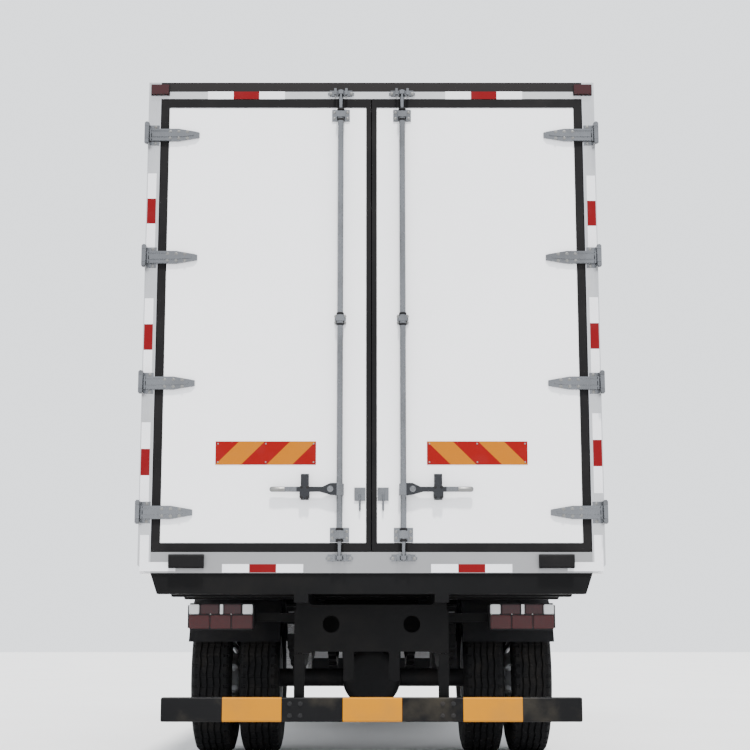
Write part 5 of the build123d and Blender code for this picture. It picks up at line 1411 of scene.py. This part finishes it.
def cab_door_trim(side, name):
    trim = Piece("cab_door_trim_" + name, "cab_door_" + name)
    x = side * (CAB_HALF + 0.001)
    front = DOOR_FRONT - 0.095
    top_front = front - WINDOW_LEAN * (WINDOW_TOP - WINDOW_BASE)
    corners = [Vector((x, front, WINDOW_BASE)), Vector((x, top_front, WINDOW_TOP)),
               Vector((x, DOOR_BACK + 0.075, WINDOW_TOP)), Vector((x, DOOR_BACK + 0.075, WINDOW_BASE))]
    closed_pipe(trim, corners, 0.009, "rubber", 0.055)
    y = DOOR_BACK + 0.150
    trim.block((side * (CAB_HALF + 0.002), y, 1.700), (0.005, 0.170, 0.060), "plastic", 0.002)
    trim.pipe([(side * CAB_HALF, y - 0.068, 1.706), (side * (CAB_HALF + 0.024), y - 0.058, 1.706),
               (side * (CAB_HALF + 0.024), y + 0.058, 1.706), (side * CAB_HALF, y + 0.068, 1.706)], 0.007,
              "plastic", 10)
    trim.lathe([(0.011, 0), (0.011, 0.003), (0.007, 0.004)], (side * (CAB_HALF + 0.004), y - 0.062, 1.684),
               (side, 0, 0), "steel", 16)
    trim.box((x, DOOR_BACK + 0.020, 1.250), (x + side * 0.005, DOOR_FRONT - 0.040, 1.290), "plastic", 0.002)
    for low_z, high_z in MIRROR_GLASSES:
        low = (side * MIRROR_IN, MIRROR_FACE, low_z)
        trim.box(low, (side * MIRROR_OUT, MIRROR_FACE + 0.003, high_z), "mirror", 0.001)
    trim.done()


def entry_steps():
    treads = Piece("step_treads", "chassis")
    for side in (-1, 1):
        x0, x1 = sorted((side * STEP_IN, side * STEP_OUT))
        for z in STEP_TOPS:
            treads.box((x0, STEP_BACK, z), (x1, STEP_FRONT, z + 0.004), "alu", 0.001, 1)
            for i in range(15):
                y = STEP_BACK + 0.030 + i * 0.032
                lean = 0.007 if i % 2 else -0.007
                treads.pipe([(x0 + 0.020, y - lean, z + 0.0045), (x1 - 0.020, y + lean, z + 0.0045)],
                            0.0025, "alu", 6)
    treads.done()


def headlamps():
    low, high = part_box("headlamps")
    front = BUMPER[1][1]
    for side, name in sides():
        lamp = Piece("headlamp_" + name, "chassis", "lamp")
        x0, x1 = sorted((side * HEADLAMP_IN, side * HEADLAMP_OUT))
        z0, z1 = low[2] + 0.002, high[2] - 0.002
        lamp.box((x0, low[1] + 0.002, z0), (x1, low[1] + 0.010, z1), "plastic", 0.002)
        for a, b in (((x0, z0), (x1, z0 + 0.006)), ((x0, z1 - 0.006), (x1, z1)),
                     ((x0, z0), (x0 + 0.006, z1)), ((x1 - 0.006, z0), (x1, z1))):
            lamp.box((a[0], low[1] + 0.008, a[1]), (b[0], front - 0.009, b[1]), "chrome", 0.001, 1)
        middle = (z0 + z1) / 2
        for along, radius in ((0.082, 0.066), (0.205, 0.058)):
            centre = (side * (HEADLAMP_IN + along), low[1] + 0.012, middle)
            lamp.lathe([(0.012, 0.004), (radius * 0.55, 0.010), (radius * 0.85, 0.026), (radius, 0.044),
                        (radius + 0.003, 0.044), (radius + 0.003, 0.002)], centre, FORWARD, "chrome", 40)
            lamp.lathe([(0.010, 0.0), (0.010, 0.020), (0.006, 0.028), (0, 0.030)], centre, FORWARD,
                       "white_lens", 20)
        turn_in, turn_out = side * (HEADLAMP_IN + 0.268), side * (HEADLAMP_IN + 0.312)
        lamp.box((turn_in, low[1] + 0.010, z0 + 0.010), (turn_out, front - 0.014, z1 - 0.010), "amber_lens",
                 0.005)
        lamp.box((x0, front - 0.009, z0), (x1, front - 0.004, z1), "clear", 0.002)
        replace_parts(lamp.done(), "headlamps")


def bumper_details():
    piece = Piece("bumper_details", "chassis")
    front = BUMPER[1][1]
    for side in (-1, 1):
        centre = (side * FOG_LAMP[0], front, FOG_LAMP[1])
        piece.lathe([(0.060, -0.004), (0.060, 0.0004), (0.052, 0.0009), (0.050, 0.0002)], centre, FORWARD,
                    "plastic", 40)
        piece.lathe([(0.050, 0.0001), (0.049, 0.0006), (0.043, 0.0007), (0.042, 0.0001)], centre, FORWARD,
                    "chrome", 40)
        piece.lathe([(0.042, 0.0001), (0.030, 0.0003), (0.018, 0.0002), (0, 0.0002)], centre, FORWARD,
                    "chrome", 40)
        piece.lathe([(0.014, 0.0002), (0.012, 0.0006), (0, 0.0007)], centre, FORWARD, "white_lens", 24)
    piece.block((0, front - 0.0265, 0.630), (0.470, 0.005, 0.120), "plastic", 0.003)
    piece.block((0, front - 0.0230, 0.630), (0.446, 0.003, 0.108), "blank_plate", 0.002)
    for x in (-0.205, 0.205):
        piece.bolt((x, front - 0.0215, 0.665), FORWARD, 0.005, "steel", 0.3)
    for i in range(5):
        z = 0.430 + i * 0.022
        piece.box((-0.560, front - 0.002, z), (0.560, front + 0.0005, z + 0.010), "plastic")
    for side in (-1, 1):
        piece.lathe([(0.034, 0), (0.034, 0.003), (0.024, 0.004)], (side * 0.560, front - 0.003, 0.735),
                    FORWARD, "plastic", 24)
    piece.done()


cab_front_trim()
for cab_side, cab_name in sides():
    cab_door_trim(cab_side, cab_name)
entry_steps()
headlamps()
bumper_details()


# Tank straps and cap, battery box lid
def strap(piece, x0, x1, z0, z1, corner, y0, y1, thick, key):
    """A flat band round a box with rounded edges that runs along y."""
    shape = bmesh.new()
    rows = []
    for grow in (0.0, thick):
        ring = []
        for cx, cz, start in ((x1 - corner, z1 - corner, 0.0), (x0 + corner, z1 - corner, 90.0),
                              (x0 + corner, z0 + corner, 180.0), (x1 - corner, z0 + corner, 270.0)):
            for i in range(7):
                angle = math.radians(start + 15 * i)
                ring.append((cx + (corner + grow) * math.cos(angle), cz + (corner + grow) * math.sin(angle)))
        rows.append(ring)
    grid = []
    for ring, y in ((rows[0], y0), (rows[1], y0), (rows[1], y1), (rows[0], y1)):
        grid.append([shape.verts.new((x, y, z)) for x, z in ring])
    for a, b in zip(grid, grid[1:] + grid[:1]):
        for i in range(len(a)):
            j = (i + 1) % len(a)
            shape.faces.new((a[i], a[j], b[j], b[i]))
    piece.take(shape, key)


def tank_details():
    piece = Piece("tank_details", "chassis")
    low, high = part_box("fuel_tank")
    x1 = low[0] + 0.620
    for y in (low[1] + 0.150, high[1] - 0.150):
        strap(piece, low[0], x1, low[2], high[2], 0.070, y - 0.025, y + 0.025, 0.003, "steel")
        piece.bolt((low[0] - 0.003, y, (low[2] + high[2]) / 2 + 0.08), (-1, 0, 0), 0.009, "steel", 0.4)
    cap = (low[0] + 0.140, high[1] - 0.300, high[2])
    piece.lathe([(0.050, -0.004), (0.050, 0.014), (0.046, 0.018), (0.046, 0.036), (0.040, 0.042),
                 (0, 0.043)], cap, UPWARD, "plastic", 32)
    for i in range(4):
        y = low[1] + 0.10 + i * 0.25
        piece.rivet((low[0] + 0.310, y, high[2]), UPWARD, 0.005)
    box_low, box_high = Vector((0.560, 1.500, 0.480)), Vector((1.120, 2.050, 0.920))
    piece.box((box_low.x + 0.004, box_low.y - 0.002, 0.846),
              (box_high.x + 0.002, box_high.y + 0.002, 0.852), "chassis")
    for y in (1.620, 1.930):
        piece.block((box_high.x + 0.006, y, 0.842), (0.012, 0.040, 0.070), "steel", 0.003)
    for i in range(6):
        z = 0.560 + i * 0.040
        piece.box((box_high.x - 0.001, 1.590, z), (box_high.x + 0.003, 1.960, z + 0.016), "plastic", 0.001)
    piece.done()


tank_details()


# Cab interior: padded seats, dashboard, dials, column, pedals and gear lever
SEAT_X = 0.560
SEAT_MID_Y = 3.320
SEAT_BASE_Z = 1.560
CAB_FLOOR = 1.200
BACK_LEAN = math.radians(12)


def padded_form(name, size, corner, crown, pull, channels, place):
    """A crowned cushion whose sides pull in and whose face has sewn channels at the given x shares."""
    shape = bmesh.new()
    bmesh.ops.create_cube(shape, size=2.0)
    bmesh.ops.subdivide_edges(shape, edges=shape.edges[:], cuts=19, use_grid_fill=True)
    half = Vector(size) / 2
    for vert in shape.verts:
        u, v, w = vert.co
        spot = Vector((u * half.x, v * half.y, w * half.z))
        inner = Vector([max(-h + corner, min(h - corner, c)) for c, h in zip(spot, half)])
        away = spot - inner
        if away.length > 1e-9:
            spot = inner + away.normalized() * corner
        bulge = (1 - u * u) * (1 - v * v)
        if w > 0.98:
            spot.z += crown * bulge
            for channel in channels:
                spot.z -= 0.011 * math.exp(-((u - channel) * half.x / 0.006) ** 2) * min(1.0,
                                                                                         4 * (1 - v * v))
        spot.x *= 1 - pull * (1 - v * v) * (1 - abs(w) ** 3)
        spot.y *= 1 - pull * (1 - u * u) * (1 - abs(w) ** 3)
        vert.co = spot
    pad = Piece(name, "cab")
    pad.take(shape, "cloth", place)
    body = pad.done(math.radians(60))
    body.data.materials.append(M["cloth_side"])
    wings = half.x * 0.70
    inverse = place.inverted()
    for face in body.data.polygons:
        if abs((inverse @ face.center).x) > wings or (inverse @ face.center).z < half.z * 0.4:
            face.material_index = 1
    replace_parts(body, "cab_interior")
    return body


def seat(side, name):
    x = side * SEAT_X
    flat = Matrix.Translation((x, SEAT_MID_Y, SEAT_BASE_Z + 0.058))
    padded_form("seat_cushion_" + name, (0.505, 0.470, 0.112), 0.034, 0.010, 0.014,
                (-0.62, -0.31, 0.0, 0.31, 0.62), flat)
    hinge = Matrix.Translation((x, 3.110, SEAT_BASE_Z + 0.080)) @ Matrix.Rotation(BACK_LEAN, 4, "X")
    upright = hinge @ Matrix.Translation((0, -0.040, 0.345)) @ Matrix.Rotation(math.radians(-90), 4, "X")
    padded_form("seat_back_" + name, (0.480, 0.650, 0.108), 0.034, 0.008, 0.016,
                (-0.60, -0.30, 0.0, 0.30, 0.60), upright)
    head = hinge @ Matrix.Translation((0, -0.045, 0.745)) @ Matrix.Rotation(math.radians(-90), 4, "X")
    padded_form("headrest_" + name, (0.270, 0.150, 0.090), 0.030, 0.008, 0.020, (), head)
    stand = Piece("seat_stand_" + name, "cab")
    stand.box((x - 0.200, 3.120, CAB_FLOOR), (x + 0.200, 3.520, CAB_FLOOR + 0.060), "plastic", 0.010)
    for i in range(6):
        grow = 0.012 if i % 2 else 0.0
        low_z = CAB_FLOOR + 0.060 + i * 0.045
        stand.box((x - 0.165 - grow, 3.150 - grow, low_z), (x + 0.165 + grow, 3.490 + grow, low_z + 0.045),
                  "rubber", 0.012)
    stand.box((x - 0.215, 3.105, CAB_FLOOR + 0.330), (x + 0.215, 3.535, SEAT_BASE_Z + 0.001), "plastic",
              0.010)
    for across in (-0.050, 0.050):
        low = hinge @ Vector((across, -0.045, 0.640))
        high = hinge @ Vector((across, -0.045, 0.700))
        stand.rod(low, high, 0.006, "chrome", 12)
    stand.lathe([(0.026, 0), (0.026, 0.010), (0.020, 0.014), (0, 0.015)],
                (x + side * 0.246, 3.120, SEAT_BASE_Z + 0.050), (side, 0, 0), "plastic", 20)
    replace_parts(stand.done(), "cab_interior")


DASH_WALL = 4.388


def dashboard():
    dash = Piece("dashboard", "cab")
    section = [(DASH_WALL, 1.430), (DASH_WALL, 1.848), (4.300, 1.860), (4.190, 1.866), (4.080, 1.825),
               (3.966, 1.760), (3.960, 1.735), (3.990, 1.560), (4.020, 1.525), (4.170, 1.430)]
    dash.outline(section, "X", -1.100, 1.100, "trim", 0.010)
    hood = [(4.200, 1.862), (4.050, 1.912), (3.985, 1.905), (3.975, 1.890), (4.030, 1.880), (4.080, 1.790),
            (4.200, 1.790)]
    dash.outline(hood, "X", -0.800, -0.320, "trim", 0.008)
    normal = Vector((0, -0.906, 0.423))
    face = Vector((-SEAT_X, 4.046, 1.840))
    turn = normal.to_track_quat("Z", "Y").to_matrix().to_4x4()
    for along, radius in ((-0.150, 0.042), (-0.052, 0.050), (0.060, 0.050), (0.156, 0.042)):
        centre = face + Vector((along, 0, 0))
        dash.lathe([(radius, 0), (radius + 0.003, 0.004), (radius, 0.008), (radius - 0.004, 0.004)], centre,
                   normal, "chrome", 36)
        dash.lathe([(radius - 0.003, 0.0), (radius - 0.003, 0.003), (0, 0.003)], centre, normal, "dial", 36)
        frame_place = Matrix.Translation(centre) @ turn
        for i in range(11):
            angle = math.radians(-130 + 26 * i)
            around = Matrix.Rotation(angle, 4, "Z")
            spin = frame_place @ around @ Matrix.Translation((0, radius * 0.80, 0.0035))
            dash.block((0, 0, 0), (0.0018, radius * 0.16, 0.0008), "mark", place=spin)
        around = Matrix.Rotation(math.radians(80), 4, "Z")
        needle = frame_place @ around @ Matrix.Translation((0, radius * 0.30, 0.005))
        dash.block((0, 0, 0), (0.0022, radius * 0.78, 0.001), "red_lens", place=needle)
        dash.lathe([(0.006, 0.003), (0.006, 0.008), (0, 0.009)], centre, normal, "plastic", 16)
    dash.box((-0.170, 3.958, 1.600), (0.170, 3.990, 1.735), "plastic", 0.006)
    dash.box((-0.090, 3.955, 1.660), (0.090, 3.960, 1.722), "dial", 0.002)
    for i in range(6):
        dash.lathe([(0.010, 0), (0.009, 0.008), (0, 0.009)], (-0.125 + i * 0.050, 3.957, 1.628), REARWARD,
                   "chrome", 16)
    for x in (-0.980, -0.250, 0.300, 0.980):
        dash.lathe([(0.046, 0), (0.048, 0.006), (0.042, 0.010), (0.040, 0.002)], (x, 3.970, 1.700),
                   (0, -0.97, 0.24), "plastic", 32)
        for k in (-0.020, -0.007, 0.007, 0.020):
            reach = math.sqrt(0.040 ** 2 - k * k)
            dash.box((x - reach, 3.962, 1.700 + k - 0.0015), (x + reach, 3.972, 1.700 + k + 0.0015),
                     "plastic")
    for z in (1.590, 1.715):
        dash.box((0.400, 3.966, z), (0.860, 3.984, z + 0.003), "dial")
    dash.block((0.630, 3.966, 1.690), (0.080, 0.012, 0.018), "plastic", 0.004)
    column_low = Vector((-SEAT_X, 4.016, 1.554))
    column_high = Vector((-SEAT_X, 3.8283, 1.9068))
    dash.rod(column_low, column_high, 0.040, "plastic", 28, 0.006)
    for side in (-1, 1):
        root = column_low.lerp(column_high, 0.86)
        dash.pipe([root + Vector((side * 0.036, 0, 0)), root + Vector((side * 0.10, -0.004, 0.014)),
                   root + Vector((side * 0.165, -0.012, 0.022))], 0.006, "plastic", 8)
    for x, y in ((-0.720, 4.180), (-0.580, 4.190), (-0.420, 4.170)):
        dash.pipe([(x, 4.250, 1.440), (x, y + 0.03, 1.370), (x, y, 1.300)], 0.007, "steel", 8)
        dash.block((x, y - 0.004, 1.300), (0.062, 0.012, 0.075), "rubber", 0.004)
    dash.lathe([(0.075, 0), (0.060, 0.030), (0.050, 0.045), (0.034, 0.075), (0.016, 0.095), (0.010, 0.100)],
               (0, 3.660, CAB_FLOOR), UPWARD, "rubber", 28)
    dash.pipe([(0, 3.660, CAB_FLOOR + 0.08), (0, 3.660, CAB_FLOOR + 0.30),
               (-0.010, 3.625, CAB_FLOOR + 0.520)], 0.009, "chrome", 10)
    dash.lathe([(0.012, -0.028), (0.024, -0.012), (0.026, 0.004), (0.018, 0.020), (0, 0.026)],
               (-0.010, 3.622, CAB_FLOOR + 0.530), (0, -0.1, 1), "plastic", 24)
    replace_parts(dash.done(), "cab_interior")


def steering_pad():
    pad = Piece("steering_pad", "steering_wheel")
    axis = Vector((0, -math.sin(math.radians(28)), math.cos(math.radians(28))))
    hub = Vector((-SEAT_X, 3.800, 1.960)) + axis * 0.019
    pad.lathe([(0.060, 0), (0.068, 0.006), (0.066, 0.016), (0.045, 0.023), (0, 0.025)], hub, axis,
              "plastic", 36)
    pad.lathe([(0.022, 0.0235), (0.022, 0.0265), (0.018, 0.0275), (0, 0.0278)], hub, axis, "chrome", 28)
    pad.done()


for seat_side, seat_name in sides():
    seat(seat_side, seat_name)
dashboard()
steering_pad()


# Load space: floor rails, kick plates, lamps and the evaporator's fans
INNER_X = 1.215
INNER_FRONT = 1.981
FLOOR_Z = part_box("box_floor")[1][2]
CEILING_Z = 3.890


def load_space():
    piece = Piece("load_space_fittings", "chassis")
    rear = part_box("box_floor")[0][1] + 0.03
    for i in range(47):
        x = -1.150 + i * 0.050
        piece.box((x - 0.012, rear, FLOOR_Z), (x + 0.012, INNER_FRONT - 0.010, FLOOR_Z + 0.004), "alu",
                  0.001, 1)
    for side in (-1, 1):
        x0, x1 = sorted((side * (INNER_X - 0.0015), side * INNER_X))
        piece.box((x0, rear, FLOOR_Z), (x1, INNER_FRONT, FLOOR_Z + 0.240), "alu")
        for y in steps(rear + 0.1, INNER_FRONT - 0.1, 0.30):
            piece.rivet((side * (INNER_X - 0.0015), y, FLOOR_Z + 0.215), (-side, 0, 0), 0.005)
        x0, x1 = sorted((side * (INNER_X - 0.020), side * INNER_X))
        piece.box((x0, rear + 0.05, 2.200), (x1, INNER_FRONT - 0.01, 2.206), "alu")
        piece.box((x0, rear + 0.05, 2.270), (x1, INNER_FRONT - 0.01, 2.276), "alu")
    for y in (-2.9, -0.6):
        piece.block((0, y, CEILING_Z - 0.002), (0.320, 0.110, 0.004), "plastic", 0.001)
        piece.block((0, y, CEILING_Z - 0.006), (0.290, 0.085, 0.006), "white_lens", 0.002)
    for x in (-0.45, 0.0, 0.45):
        centre = Vector((x, 1.601, 3.824))
        piece.lathe([(0.058, 0.0), (0.060, 0.010), (0.055, 0.014), (0.052, 0.004)], centre, REARWARD,
                    "plastic", 36)
        piece.lathe([(0.052, 0.0), (0.052, 0.003), (0, 0.003)], centre, REARWARD, "dial", 36)
        for radius in (0.014, 0.027, 0.040):
            piece.lathe([(radius, 0.009), (radius + 0.0025, 0.011), (radius, 0.013),
                         (radius - 0.0025, 0.011)], centre, REARWARD, "steel", 28)
        for k in range(4):
            angle = math.pi * k / 4
            arm = Vector((math.cos(angle), 0, math.sin(angle))) * 0.055
            piece.rod(centre - arm + Vector((0, -0.011, 0)), centre + arm + Vector((0, -0.011, 0)), 0.0018,
                      "steel", 6)
    piece.done()


load_space()
